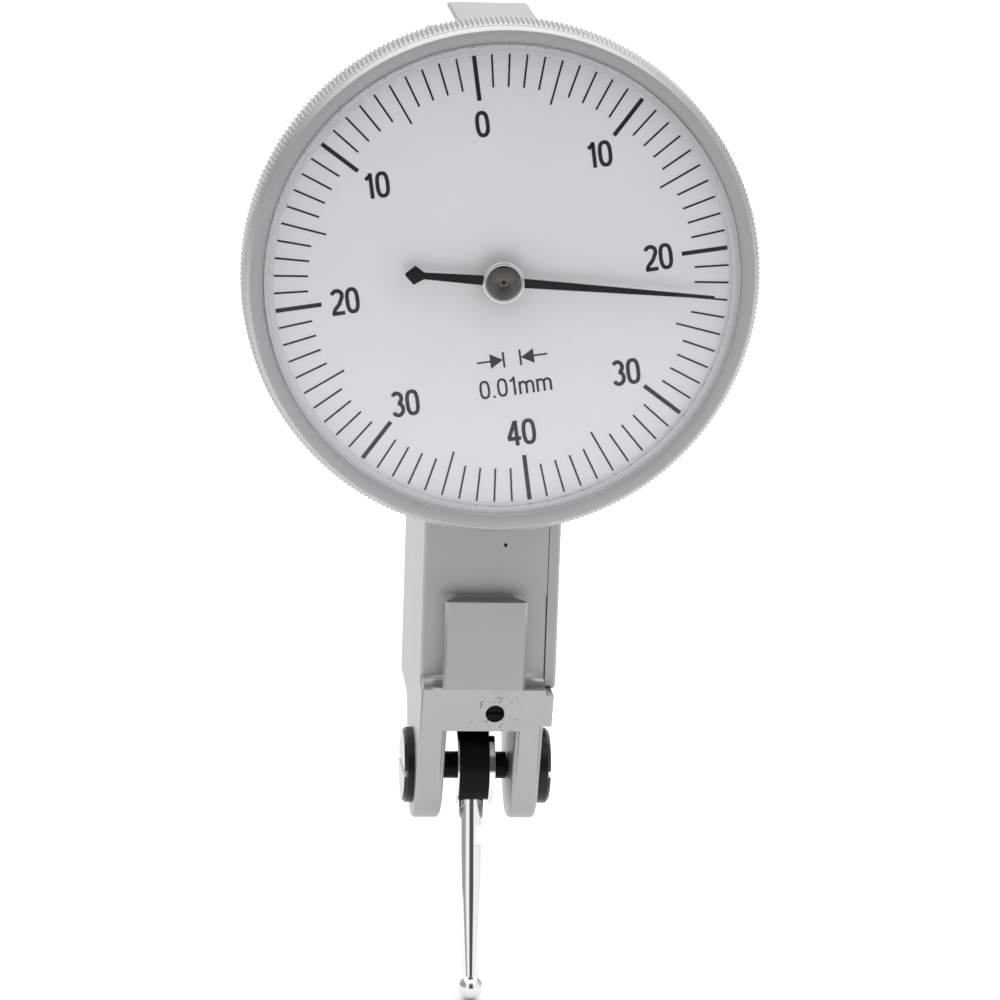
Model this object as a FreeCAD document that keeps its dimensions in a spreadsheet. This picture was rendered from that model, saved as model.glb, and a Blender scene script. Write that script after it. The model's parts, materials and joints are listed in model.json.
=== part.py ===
"""Dial test indicator with a tilting stylus, a turning bezel and three dovetails.

Frame: millimetres, +Z up, stylus down, dial towards -Y. The origin is the middle of the
rear dovetail's flat face, on the dial axis. The dial axis is the Y axis.
"""
import FreeCAD
import Part
import Sketcher
import math
import os

Vector = FreeCAD.Vector
Rotation = FreeCAD.Rotation

# Every driving size, in millimetres, degrees or whole counts.
SIZES = (
    # body bar and its side cover
    ("body_half_width", 4.9), ("body_depth", 17.4), ("body_top", 16.75), ("rear_bevel", 4.0),
    ("shoulder_drop", 33.5), ("heel_drop", 36.9), ("heel_step", 6.0), ("heel_slope", 0.6),
    ("land_width", 0.65), ("land_foot_drop", 36.7), ("cover_seat_drop", 33.95),
    ("cover_thickness", 0.95), ("cover_gap", 0.12), ("edge_break", 0.25), ("runout_radius", 0.9),
    ("recess_step", 0.08), ("recess_top_drop", 26.2), ("pin_hole_radius", 0.15),
    ("pin_hole_x", 1.5), ("pin_hole_drop", 22.2), ("pin_hole_depth", 0.6),
    # dovetails
    ("dovetail_width", 6.5), ("dovetail_height", 1.9), ("dovetail_angle", 60.0),
    ("dovetail_edge", 0.22), ("rear_dovetail_length", 18.0), ("top_dovetail_length", 13.0),
    ("front_dovetail_top_drop", 26.4),
    # fork that carries the stylus
    ("pivot_drop", 41.5), ("pivot_setback", 5.0), ("nose_radius", 4.2), ("fork_gap", 5.4),
    ("fork_roof_rise", 4.35), ("ear_break", 0.4), ("pivot_thread_radius", 1.35),
    ("pivot_head_radius", 3.02), ("pivot_head_left", 0.8), ("pivot_head_right", 1.1),
    ("pivot_tip_radius", 0.5), ("pivot_tip_length", 0.75),
    ("set_screw_x", 1.0), ("set_screw_rise", 5.9), ("set_screw_radius", 0.75),
    ("set_screw_gap", 0.4), ("set_screw_sink", 1.1),
    # cavity for the movement
    ("front_wall", 1.2), ("rear_wall", 1.5), ("side_wall", 1.4), ("cavity_top", 11.5),
    ("cavity_drop", 30.5), ("cavity_corner", 1.5), ("channel_half_width", 1.9),
    ("channel_half_depth", 2.4), ("post_radius", 1.3), ("post_height", 8.6),
    ("post_wall_gap", 1.2), ("plate_left", 2.2), ("plate_thickness", 0.8),
    ("plate_margin", 0.3), ("plate_overhang", 1.5),
    # small screws and pins
    ("screw_radius", 0.6), ("screw_head_radius", 1.05), ("screw_head_length", 0.5),
    ("screw_slot_width", 0.25), ("screw_slot_depth", 0.25), ("screw_length", 2.2),
    ("cover_screw_height", 14.2), ("cover_screw_drop", 32.1), ("cover_screw_inset", 3.4),
    ("case_screw_inset", 0.35), ("case_screw_length", 4.4),
    ("stop_pin_radius", 0.5), ("stop_pin_drop", 20.0), ("stop_pin_offset", 2.5),
    ("stop_pin_end", 2.0),
    # bezel, crystal, dial and the case plate that the bezel turns on
    ("bezel_radius", 20.0), ("bezel_length", 4.3), ("bezel_back_gap", 1.6),
    ("bezel_face_inset", 0.5), ("bezel_bevel_length", 1.0), ("bezel_dish", 0.25),
    ("bezel_back_break", 0.2), ("front_band", 1.1), ("crystal_seat_depth", 0.6),
    ("crystal_edge", 1.2), ("crystal_rise", 1.15), ("crystal_thickness", 0.6),
    ("crystal_shoulder", 0.45), ("crystal_land", 0.65),
    ("crystal_fit", 0.02),
    ("lip_thickness", 0.35), ("bezel_wall", 1.7), ("dial_thickness", 0.4),
    ("dial_hole_radius", 1.3), ("clamp_ring_length", 0.6), ("clamp_ring_width", 1.6),
    ("bezel_fit", 0.05), ("case_rim_length", 1.4), ("case_rim_gap", 0.35),
    ("case_hub_inset", 2.8), ("case_floor", 2.2), ("case_pan_inset", 3.9),
    ("wire_length", 0.4), ("wire_width", 0.6), ("wire_slack", 0.05), ("wire_opening", 6.0),
    # gear train
    ("sector_module", 0.2), ("arbor_pinion_teeth", 12), ("crown_module", 0.13),
    ("crown_teeth", 50), ("centre_pinion_teeth", 12), ("tooth_share", 0.4),
    ("addendum_share", 0.7), ("dedendum_share", 1.0), ("sector_half_angle", 2.9),
    ("sector_left", 1.5), ("sector_thickness", 0.4), ("sector_length", 11.5),
    ("arbor_pinion_left", 1.25), ("arbor_pinion_right", 2.05), ("crown_web", 0.45),
    ("crown_face_width", 0.7), ("crown_hub_radius", 0.9), ("centre_pinion_length", 0.95),
    ("arbor_radius", 0.35), ("arbor_pivot_radius", 0.2), ("jewel_radius", 0.45),
    ("jewel_bore_radius", 0.23), ("front_jewel_radius", 0.8), ("arbor_fit", 0.04),
    ("jewel_length", 0.5), ("end_shake", 0.05),
    ("bridge_setback", 1.8), ("bridge_thickness", 0.6), ("bridge_low", 0.9),
    ("bridge_high", 1.6), ("bridge_reach", 0.62), ("bridge_foot_rise", 5.2),
    # lever and stylus
    ("cheek_radius", 3.3), ("washer_radius", 3.45), ("cheek_left", 1.05), ("cheek_thickness", 0.45),
    ("washer_thickness", 0.15), ("hub_half_gap", 1.35), ("arm_root_width", 3.4),
    ("arm_tip_width", 2.2), ("arm_tip_drop", 6.0), ("axle_radius", 1.08),
    ("axle_end_gap", 0.08), ("hub_radius", 3.15), ("hub_fit", 0.04), ("hub_side_gap", 0.02),
    ("hub_flat", 2.75), ("stylus_tilt", 18.0), ("stylus_length", 17.7),
    ("stylus_radius", 1.015), ("stylus_straight", 7.0), ("stylus_neck_radius", 0.6),
    ("stylus_thread_radius", 0.7), ("stylus_thread_length", 1.3), ("ball_radius", 1.0),
    ("flat_start", 4.85), ("flat_length", 1.6), ("flat_half_width", 0.86), ("flat_turn", 50.0),
    ("spring_thickness", 0.15), ("spring_width", 1.0), ("spring_gap", 0.45),
    ("spring_foot_drop", 9.5), ("spring_foot_height", 3.0), ("spring_tip_reach", 1.0),
    ("spring_pin_radius", 0.35), ("spring_pin_rise", 2.9), ("rivet_radius", 0.4),
    # pointer and hairspring
    ("pointer_angle", 93.5), ("pointer_clearance", 1.35), ("pointer_root_width", 0.72),
    ("pointer_tip_width", 0.22), ("pointer_thickness", 0.15), ("pointer_lift", 0.95),
    ("tail_length", 7.55), ("tail_root_width", 0.76), ("tail_neck_width", 0.52),
    ("tail_neck", 6.1), ("tail_wide", 6.85), ("tail_wide_width", 1.5),
    ("boss_radius", 1.6), ("boss_rim", 0.25), ("boss_length", 0.6), ("boss_dish", 0.12),
    ("hairspring_inner", 1.0), ("hairspring_pitch", 0.42), ("hairspring_turns", 5),
    ("hairspring_strip", 0.12), ("hairspring_height", 0.35), ("collet_radius", 0.8),
    ("collet_length", 0.5), ("stud_radius", 0.45),
)

document = FreeCAD.newDocument("DialTestIndicator")
sheet = document.addObject("Spreadsheet::Sheet", "Sizes")


class Size:
    """A number together with the sheet expression that gives it."""

    def __init__(self, value, text):
        self.value = float(value)
        self.text = text

    def __add__(self, other):
        return combine(self, "+", other, self.value + number(other))

    def __radd__(self, other):
        return combine(other, "+", self, number(other) + self.value)

    def __sub__(self, other):
        return combine(self, "-", other, self.value - number(other))

    def __rsub__(self, other):
        return combine(other, "-", self, number(other) - self.value)

    def __mul__(self, other):
        return combine(self, "*", other, self.value * number(other))

    def __rmul__(self, other):
        return combine(other, "*", self, number(other) * self.value)

    def __truediv__(self, other):
        return combine(self, "/", other, self.value / number(other))

    def __neg__(self):
        return Size(-self.value, "(0 - %s)" % self.text)


def number(item):
    return item.value if isinstance(item, Size) else float(item)


def wording(item):
    return item.text if isinstance(item, Size) else "%.6g" % item


def combine(left, sign, right, value):
    return Size(value, "(%s %s %s)" % (wording(left), sign, wording(right)))


def tangent(angle):
    return Size(math.tan(math.radians(angle.value)), "tan(%s)" % angle.text)


class Sheet:
    """The sheet's cells, read as Size values by their aliases."""

    def __getattr__(self, alias):
        return Size(getattr(sheet, alias), "Sizes.%s" % alias)


def fill_sheet():
    for row, (alias, value) in enumerate(SIZES, start=1):
        sheet.set("A%d" % row, alias)
        sheet.set("B%d" % row, str(value))
        sheet.setAlias("B%d" % row, alias)
    document.recompute()


fill_sheet()
S = Sheet()

# Places that several pieces share, worked out from the sheet.
BACK = -S.dovetail_height
FRONT = BACK - S.body_depth
FRONT_RECESS = FRONT + S.recess_step
FRONT_DOVETAIL = FRONT - S.dovetail_height
PIVOT_Y = FRONT + S.pivot_setback
PIVOT_Z = -S.pivot_drop
ROOF_Z = PIVOT_Z + S.fork_roof_rise
COVER_OUT = S.body_half_width + S.cover_thickness
LAND_X = S.body_half_width + S.land_width
CAVITY_FRONT = FRONT + S.front_wall
CAVITY_BACK = BACK - S.rear_wall
CAVITY_LEFT = -(S.body_half_width - S.side_wall)
PLATE_RIGHT = S.plate_left + S.plate_thickness
SPRING_PIN_DROP = S.cavity_drop - S.spring_pin_rise
SPRING_TIP_DROP = SPRING_PIN_DROP + S.spring_tip_reach
BEZEL_BORE = S.bezel_radius - S.bezel_wall
BEZEL_FACE = S.bezel_radius - S.bezel_face_inset
CRYSTAL_RADIUS = BEZEL_FACE - S.front_band
LIP_RADIUS = CRYSTAL_RADIUS - S.crystal_land
CASE_HUB = BEZEL_BORE - S.case_hub_inset
CASE_PAN = BEZEL_BORE - S.case_pan_inset
CASE_SCREW_Z = CASE_PAN - S.screw_head_radius - S.case_screw_inset
POINTER_REACH = LIP_RADIUS - S.pointer_clearance
BEZEL_BACK = FRONT - S.bezel_back_gap
BEZEL_FRONT = BEZEL_BACK - S.bezel_length
CRYSTAL_SEAT = BEZEL_FRONT + S.bezel_dish + S.crystal_seat_depth
DIAL_FACE = CRYSTAL_SEAT + S.lip_thickness
DIAL_BACK = DIAL_FACE + S.dial_thickness
CLAMP_BACK = DIAL_BACK + S.clamp_ring_length
RIM_FRONT = CLAMP_BACK + S.case_rim_gap
RIM_BACK = RIM_FRONT + S.case_rim_length
WIRE_FRONT = (RIM_FRONT + RIM_BACK - S.wire_length) / 2
PAN_FLOOR = FRONT - S.case_floor
ARBOR_PINION_RADIUS = S.arbor_pinion_teeth * S.sector_module / 2
SECTOR_RADIUS = S.pivot_drop - ARBOR_PINION_RADIUS
CROWN_RADIUS = S.crown_teeth * S.crown_module / 2
CENTRE_PINION_RADIUS = S.centre_pinion_teeth * S.crown_module / 2
MESH_Y = PIVOT_Y - CROWN_RADIUS
CROWN_ROOT_X = -(CENTRE_PINION_RADIUS + S.dedendum_share * S.crown_module)
CROWN_BACK_X = CROWN_ROOT_X - S.crown_web
BRIDGE_BACK = PIVOT_Y - S.bridge_setback
BRIDGE_FRONT = BRIDGE_BACK - S.bridge_thickness
POINTER_BACK = DIAL_FACE - S.pointer_lift
POINTER_FRONT = POINTER_BACK - S.pointer_thickness
BOSS_FRONT = POINTER_BACK - S.boss_length
COLLET_FRONT = PAN_FLOOR - S.end_shake - S.collet_length


# ---------------------------------------------------------------- building helpers
def bind(item, **properties):
    """Bind properties to sizes; a double underscore in a name stands for a dot."""
    for path, size in properties.items():
        path = path.replace("__", ".")
        item.setExpression(path, wording(size))


def new_body(name):
    body = document.addObject("PartDesign::Body", name)
    body.Label = name
    return body


def place(item, x=0, y=0, z=0, axis=None, angle=None):
    """Move an item to a place, and turn it about an axis through its own origin."""
    if axis is not None:
        item.Placement = FreeCAD.Placement(Vector(0, 0, 0), Rotation(axis, number(angle)))
        bind(item, Placement__Rotation__Angle=angle)
    bind(item, Placement__Base__x=x, Placement__Base__y=y, Placement__Base__z=z)


def sketch_on(body, plane, offset=None):
    """A sketch on one of the body's origin planes, moved along its normal."""
    sketch = body.newObject("Sketcher::SketchObject", body.Name + "_sketch")
    planes = [feature for feature in body.Origin.OriginFeatures if feature.Role == plane]
    sketch.AttachmentSupport = [(planes[0], "")]
    sketch.MapMode = "FlatFace"
    if offset is not None:
        bind(sketch, AttachmentOffset__Base__z=offset)
    return sketch


def fix_point(sketch, geometry, position, x, y):
    for kind, size in (("DistanceX", x), ("DistanceY", y)):
        rule = Sketcher.Constraint(kind, -1, 1, geometry, position, number(size))
        index = sketch.addConstraint(rule)
        sketch.setExpression("Constraints[%d]" % index, wording(size))


def draw_polygon(sketch, points):
    """Draw a closed outline through points whose coordinates are sizes."""
    first = sketch.GeometryCount
    count = len(points)
    for index in range(count):
        start = points[index]
        end = points[(index + 1) % count]
        line = Part.LineSegment(Vector(number(start[0]), number(start[1]), 0),
                                Vector(number(end[0]), number(end[1]), 0))
        sketch.addGeometry(line, False)
    for index in range(count):
        before = first + (index - 1) % count
        sketch.addConstraint(Sketcher.Constraint("Coincident", before, 2, first + index, 1))
        fix_point(sketch, first + index, 1, *points[index])


def draw_box(sketch, x_low, x_high, y_low, y_high):
    draw_polygon(sketch, ((x_low, y_low), (x_high, y_low), (x_high, y_high), (x_low, y_high)))


def draw_circle(sketch, x, y, radius):
    circle = Part.Circle(Vector(number(x), number(y), 0), Vector(0, 0, 1), number(radius))
    geometry = sketch.addGeometry(circle, False)
    fix_point(sketch, geometry, 3, x, y)
    index = sketch.addConstraint(Sketcher.Constraint("Radius", geometry, number(radius)))
    sketch.setExpression("Constraints[%d]" % index, wording(radius))


def add_pad(body, sketch, length, reverse=False, symmetric=False):
    pad = body.newObject("PartDesign::Pad", body.Name + "_pad")
    pad.Profile = sketch
    pad.Reversed = reverse
    if symmetric:
        pad.SideType = "Symmetric"
    bind(pad, Length=length)
    return pad


def add_pocket(body, sketch, length=None, reverse=False):
    """Cut a sketch out of the body: to a length, or right through both ways."""
    document.recompute()
    before = body.Shape.Volume
    pocket = body.newObject("PartDesign::Pocket", body.Name + "_pocket")
    pocket.Profile = sketch
    pocket.Reversed = reverse
    if length is None:
        pocket.SideType = "Symmetric"
        pocket.Type = "ThroughAll"
    else:
        bind(pocket, Length=length)
    document.recompute()
    if not body.Shape.Volume < before - 1e-6:
        raise ValueError("a pocket of %s cuts nothing" % body.Label)
    return pocket


def add_revolution(body, sketch, axis):
    turned = body.newObject("PartDesign::Revolution", body.Name + "_turned")
    turned.Profile = sketch
    turned.ReferenceAxis = (sketch, [axis])
    turned.Angle = 360
    return turned


def add_groove(body, sketch, axis):
    groove = body.newObject("PartDesign::Groove", body.Name + "_groove")
    groove.Profile = sketch
    groove.ReferenceAxis = (sketch, [axis])
    groove.Angle = 360
    return groove


def edge_names(shape, wanted):
    return ["Edge%d" % index for index, edge in enumerate(shape.Edges, start=1) if wanted(edge)]


def add_edge_feature(body, kind, base, wanted, size):
    """Fillet or chamfer the edges of a feature that pass a test."""
    document.recompute()
    feature = body.newObject("PartDesign::" + kind, body.Name + "_" + kind.lower())
    feature.Base = (base, edge_names(base.Shape, wanted))
    if kind == "Fillet":
        bind(feature, Radius=size)
    else:
        bind(feature, Size=size)
    document.recompute()
    return feature


def turned_piece(name, plane, points, axis):
    """A piece turned on a lathe from one closed profile."""
    body = new_body(name)
    sketch = sketch_on(body, plane)
    draw_polygon(sketch, points)
    add_revolution(body, sketch, axis)
    return body


def cylinder(name, radius, length, x=0, y=0, z=0, along="z"):
    """A plain round bar that starts at a place and runs along one axis."""
    bar = document.addObject("Part::Cylinder", name)
    bind(bar, Radius=radius, Height=length)
    turns = {"z": (Vector(0, 0, 1), 0), "x": (Vector(0, 1, 0), 90), "y": (Vector(1, 0, 0), -90)}
    bar.Placement = FreeCAD.Placement(Vector(0, 0, 0), Rotation(*turns[along]))
    bind(bar, Placement__Base__x=x, Placement__Base__y=y, Placement__Base__z=z)
    return bar


def box(name, x, y, z, length, width, height):
    block = document.addObject("Part::Box", name)
    bind(block, Length=length, Width=width, Height=height)
    bind(block, Placement__Base__x=x, Placement__Base__y=y, Placement__Base__z=z)
    return block


def cut(name, base, tool):
    result = document.addObject("Part::Cut", name)
    result.Base = base
    result.Tool = tool
    return result


def fuse(name, base, tool):
    result = document.addObject("Part::Fuse", name)
    result.Base = base
    result.Tool = tool
    return result


def group(name, pieces):
    """Like pieces in one node, as separate solids."""
    bundle = document.addObject("Part::Compound", name)
    bundle.Links = pieces
    bundle.Label = name
    return bundle


def carved(name, shape, x=0, y=0, z=0):
    """A piece whose outline is a formula, such as a gear or a spiral."""
    feature = document.addObject("Part::Feature", name)
    feature.Label = name
    feature.Shape = shape
    place(feature, x, y, z)
    return feature


def slotted_screw(name, length, x, y, z, along, slot_along):
    """A small cheese-head screw; its head starts at the given place, its shank runs on."""
    head = cylinder(name + "_head", S.screw_head_radius, S.screw_head_length)
    shank = cylinder(name + "_shank", S.screw_radius, length, z=S.screw_head_length)
    slot = box(name + "_slot", -S.screw_head_radius, -S.screw_slot_width / 2, 0,
               2 * S.screw_head_radius, S.screw_slot_width, S.screw_slot_depth)
    screw = cut(name, fuse(name + "_blank", head, shank), slot)
    turns = {"-x": (Vector(0, 1, 0), -90), "+y": (Vector(1, 0, 0), -90)}
    turn = Rotation(*turns[along]).multiply(Rotation(Vector(0, 0, 1), slot_along))
    screw.Placement = FreeCAD.Placement(Vector(0, 0, 0), turn)
    bind(screw, Placement__Base__x=x, Placement__Base__y=y, Placement__Base__z=z)
    return screw


# ---------------------------------------------------------------- body bar
def nose_tangent(corner_y, corner_z, side):
    """Angle of the point where a line from a corner touches the round nose."""
    across = number(corner_y) - PIVOT_Y.value
    up = number(corner_z) - PIVOT_Z.value
    reach = math.hypot(across, up)
    return math.atan2(up, across) + side * math.acos(S.nose_radius.value / reach)


def draw_side_outline(sketch):
    """The bar seen from its side: straight back, sloped fork, round nose, front shoulder."""
    heel_z = -S.heel_drop - S.heel_slope
    corners = ((FRONT_RECESS, S.body_top), (BACK - S.rear_bevel, S.body_top),
               (BACK, S.body_top - S.rear_bevel), (BACK, -S.heel_drop),
               (BACK - S.heel_step, heel_z))
    shoulder = ((FRONT_DOVETAIL, -S.shoulder_drop), (FRONT_RECESS, -S.shoulder_drop))
    centre = Vector(PIVOT_Y.value, PIVOT_Z.value, 0)
    rear_angle = nose_tangent(corners[4][0], corners[4][1], -1)
    front_angle = nose_tangent(shoulder[0][0], shoulder[0][1], 1)
    circle = Part.Circle(centre, Vector(0, 0, 1), S.nose_radius.value)
    arc = Part.ArcOfCircle(circle, front_angle, rear_angle + 2 * math.pi)
    spots = [Vector(number(y), number(z), 0) for y, z in corners + shoulder]
    ends = spots[1:5] + [arc.EndPoint]
    for start, end in zip(spots[:5], ends):
        sketch.addGeometry(Part.LineSegment(start, end), False)
    sketch.addGeometry(arc, False)
    for start, end in ((arc.StartPoint, spots[5]), (spots[5], spots[6]), (spots[6], spots[0])):
        sketch.addGeometry(Part.LineSegment(start, end), False)
    for before, after in ((0, 1), (1, 2), (2, 3), (3, 4), (6, 7), (7, 8), (8, 0)):
        sketch.addConstraint(Sketcher.Constraint("Coincident", before, 2, after, 1))
    sketch.addConstraint(Sketcher.Constraint("Tangent", 4, 2, 5, 2))
    sketch.addConstraint(Sketcher.Constraint("Tangent", 5, 1, 6, 1))
    for geometry, spot in zip((0, 1, 2, 3, 4, 7, 8), corners + shoulder):
        fix_point(sketch, geometry, 1, *spot)
    fix_point(sketch, 5, 3, PIVOT_Y, PIVOT_Z)
    index = sketch.addConstraint(Sketcher.Constraint("Radius", 5, S.nose_radius.value))
    sketch.setExpression("Constraints[%d]" % index, S.nose_radius.text)


def draw_dovetail(sketch, base, outward):
    """A dovetail section: x across, y measured from the base face, outward +1 or -1."""
    half = S.dovetail_width / 2
    edge = S.dovetail_edge
    root = half - (S.dovetail_height - edge) / tangent(S.dovetail_angle)
    height = S.dovetail_height
    section = ((root, -S.edge_break), (root, Size(0, "0")), (half, height - edge),
               (half - edge, height))
    right = [(x, base + outward * y) for x, y in section]
    left = [(-x, y) for x, y in reversed(right)]
    draw_polygon(sketch, right + left)


def post_places():
    """Centres, in Y and Z, of the three posts that carry the movement plate."""
    front = CAVITY_FRONT + S.post_wall_gap
    rear = CAVITY_BACK - S.post_wall_gap
    return ((front, S.post_height), (rear, S.post_height), (rear, -S.post_height))


def cover_screw_places():
    """Centres, in Y and Z, of the four screws of the side cover."""
    front = FRONT + S.cover_screw_inset
    rear = BACK - S.cover_screw_inset
    upper_rear = rear - S.rear_bevel / 2
    return ((front, S.cover_screw_height), (upper_rear, S.cover_screw_height),
            (front, -S.cover_screw_drop), (rear, -S.cover_screw_drop))


def along_x(edge):
    box_of_edge = edge.BoundBox
    return box_of_edge.YLength < 1e-6 and box_of_edge.ZLength < 1e-6


def make_body_housing():
    body = new_body("body_housing")
    outline = sketch_on(body, "YZ_Plane")
    draw_side_outline(outline)
    bar = add_pad(body, outline, LAND_X)
    bar.SideType = "Two sides"
    bind(bar, Length2=S.body_half_width)
    shoulder_z = -S.shoulder_drop.value

    def is_shoulder_corner(edge):
        middle = edge.BoundBox.Center
        at_corner = abs(middle.y - FRONT_RECESS.value) < 1e-4 and abs(middle.z - shoulder_z) < 1e-4
        return along_x(edge) and at_corner

    runout = add_edge_feature(body, "Fillet", bar, is_shoulder_corner, S.runout_radius)
    left_face = -S.body_half_width.value
    add_edge_feature(body, "Fillet", runout,
                     lambda edge: edge.BoundBox.XMax < left_face + 1e-4, S.edge_break)
    raised = sketch_on(body, "XZ_Plane", -FRONT_RECESS)
    draw_box(raised, S.edge_break - S.body_half_width, LAND_X, -S.recess_top_drop, S.body_top)
    add_pad(body, raised, S.recess_step)
    steps = sketch_on(body, "XZ_Plane")
    far = S.body_half_width + S.bezel_radius
    draw_box(steps, S.body_half_width, far, -S.cover_seat_drop, S.body_top + S.rear_bevel)
    draw_box(steps, S.body_half_width, far, PIVOT_Z - 2 * S.nose_radius, -S.land_foot_drop)
    add_pocket(body, steps)
    make_dovetails(body)
    make_cavity(body)
    make_fork(body)
    make_body_holes(body)
    return body


def make_dovetails(body):
    front = sketch_on(body, "XY_Plane", -S.front_dovetail_top_drop)
    draw_dovetail(front, FRONT, -1)
    add_pad(body, front, S.shoulder_drop - S.front_dovetail_top_drop, reverse=True)
    rear = sketch_on(body, "XY_Plane")
    draw_dovetail(rear, BACK, 1)
    add_pad(body, rear, S.rear_dovetail_length, symmetric=True)
    top = sketch_on(body, "XZ_Plane", -(BACK - S.rear_bevel))
    draw_dovetail(top, S.body_top, 1)
    add_pad(body, top, S.top_dovetail_length)


def make_cavity(body):
    """The pocket for the movement, open to the right, with its posts and lever channel."""
    pocket = sketch_on(body, "YZ_Plane", S.body_half_width)
    draw_box(pocket, CAVITY_FRONT, CAVITY_BACK, -S.cavity_drop, S.cavity_top)
    hollow = add_pocket(body, pocket, S.body_half_width - CAVITY_LEFT)
    corners = [(number(y), number(z)) for y in (CAVITY_FRONT, CAVITY_BACK)
               for z in (-S.cavity_drop, S.cavity_top)]

    def is_corner(edge):
        middle = edge.BoundBox.Center
        near = [abs(middle.y - y) + abs(middle.z - z) < 1e-3 for y, z in corners]
        return along_x(edge) and any(near)

    add_edge_feature(body, "Fillet", hollow, is_corner, S.cavity_corner)
    posts = sketch_on(body, "YZ_Plane", CAVITY_LEFT)
    for y, z in post_places():
        draw_circle(posts, y, z, S.post_radius)
    add_pad(body, posts, S.plate_left - CAVITY_LEFT)
    channel = sketch_on(body, "XY_Plane", -S.cavity_drop)
    draw_box(channel, -S.channel_half_width, S.channel_half_width,
             PIVOT_Y - S.channel_half_depth, PIVOT_Y + S.channel_half_depth)
    add_pocket(body, channel, -ROOF_Z - S.cavity_drop + S.edge_break)


def make_fork(body):
    """The slot between the two ears, and the threaded bores for the pivot screws."""
    slot = sketch_on(body, "XZ_Plane")
    draw_box(slot, -S.fork_gap / 2, S.fork_gap / 2, PIVOT_Z - 2 * S.nose_radius, ROOF_Z)
    slotted = add_pocket(body, slot)
    faces = (S.fork_gap.value / 2, -S.fork_gap.value / 2, S.body_half_width.value)
    below = min(ROOF_Z.value, -S.land_foot_drop.value) - S.ear_break.value

    def is_ear_rim(edge):
        space = edge.BoundBox
        flat = space.XLength < 1e-6 and any(abs(space.XMin - x) < 1e-4 for x in faces)
        return flat and space.Center.z < below

    add_edge_feature(body, "Fillet", slotted, is_ear_rim, S.ear_break)
    bores = sketch_on(body, "YZ_Plane")
    draw_circle(bores, PIVOT_Y, PIVOT_Z, S.pivot_thread_radius)
    add_pocket(body, bores)


def make_body_holes(body):
    centre = sketch_on(body, "XZ_Plane", -FRONT)
    draw_circle(centre, 0, 0, S.front_jewel_radius + S.bezel_fit + S.jewel_radius)
    add_pocket(body, centre, S.front_wall)
    case = sketch_on(body, "XZ_Plane", -FRONT)
    for side in (1, -1):
        draw_circle(case, 0, side * CASE_SCREW_Z, S.screw_radius)
    add_pocket(body, case, S.case_screw_length - S.case_floor + S.end_shake)
    pin_hole = sketch_on(body, "XZ_Plane", -FRONT)
    draw_circle(pin_hole, S.pin_hole_x, -S.pin_hole_drop, S.pin_hole_radius)
    add_pocket(body, pin_hole, S.pin_hole_depth)
    setting = sketch_on(body, "XZ_Plane", -FRONT_DOVETAIL)
    draw_circle(setting, S.set_screw_x, PIVOT_Z + S.set_screw_rise, S.set_screw_radius)
    add_pocket(body, setting, PIVOT_Y - FRONT_DOVETAIL)
    floor = sketch_on(body, "YZ_Plane", CAVITY_LEFT)
    draw_circle(floor, PIVOT_Y, 0, S.jewel_radius)
    add_pocket(body, floor, S.jewel_length)
    for places, plane_x, radius, depth in (
            (post_places(), S.plate_left, S.screw_radius, S.screw_length),
            (cover_screw_places(), S.body_half_width, S.screw_radius, S.screw_length),
            (stop_pin_places(), CAVITY_LEFT, S.stop_pin_radius, S.jewel_length),
            ((spring_screw_place(),), CAVITY_LEFT, S.screw_radius, S.side_wall / 2)):
        holes = sketch_on(body, "YZ_Plane", plane_x)
        for y, z in places:
            draw_circle(holes, y, z, radius)
        add_pocket(body, holes, depth)


# ---------------------------------------------------------------- covers, screws and pins
def make_side_cover():
    cover = new_body("side_cover")
    outline = sketch_on(cover, "YZ_Plane", S.body_half_width)
    foot = -S.cover_seat_drop + S.cover_gap
    draw_polygon(outline, (
        (FRONT, foot + S.edge_break), (FRONT, S.body_top), (BACK - S.rear_bevel, S.body_top),
        (BACK, S.body_top - S.rear_bevel), (BACK, foot), (FRONT + S.edge_break, foot)))
    plate = add_pad(cover, outline, S.cover_thickness)
    outer = COVER_OUT.value
    add_edge_feature(cover, "Fillet", plate,
                     lambda edge: edge.BoundBox.XMin > outer - 1e-4, S.edge_break)
    for radius, depth in ((S.screw_radius, None), (S.screw_head_radius, S.screw_head_length)):
        holes = sketch_on(cover, "YZ_Plane", COVER_OUT)
        for y, z in cover_screw_places():
            draw_circle(holes, y, z, radius)
        add_pocket(cover, holes, depth)


def make_cover_screws():
    length = S.screw_length + S.cover_thickness - S.screw_head_length - S.end_shake
    group("cover_screws", [
        slotted_screw("cover_screw_%d" % index, length, COVER_OUT, y, z, "-x", 35 * index)
        for index, (y, z) in enumerate(cover_screw_places(), start=1)])


def make_case_screws():
    head_y = PAN_FLOOR - S.screw_head_length
    group("case_screws", [
        slotted_screw("case_screw_%d" % index, S.case_screw_length, 0, head_y,
                      side * CASE_SCREW_Z, "+y", 50 * index)
        for index, side in ((1, 1), (2, -1))])


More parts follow.
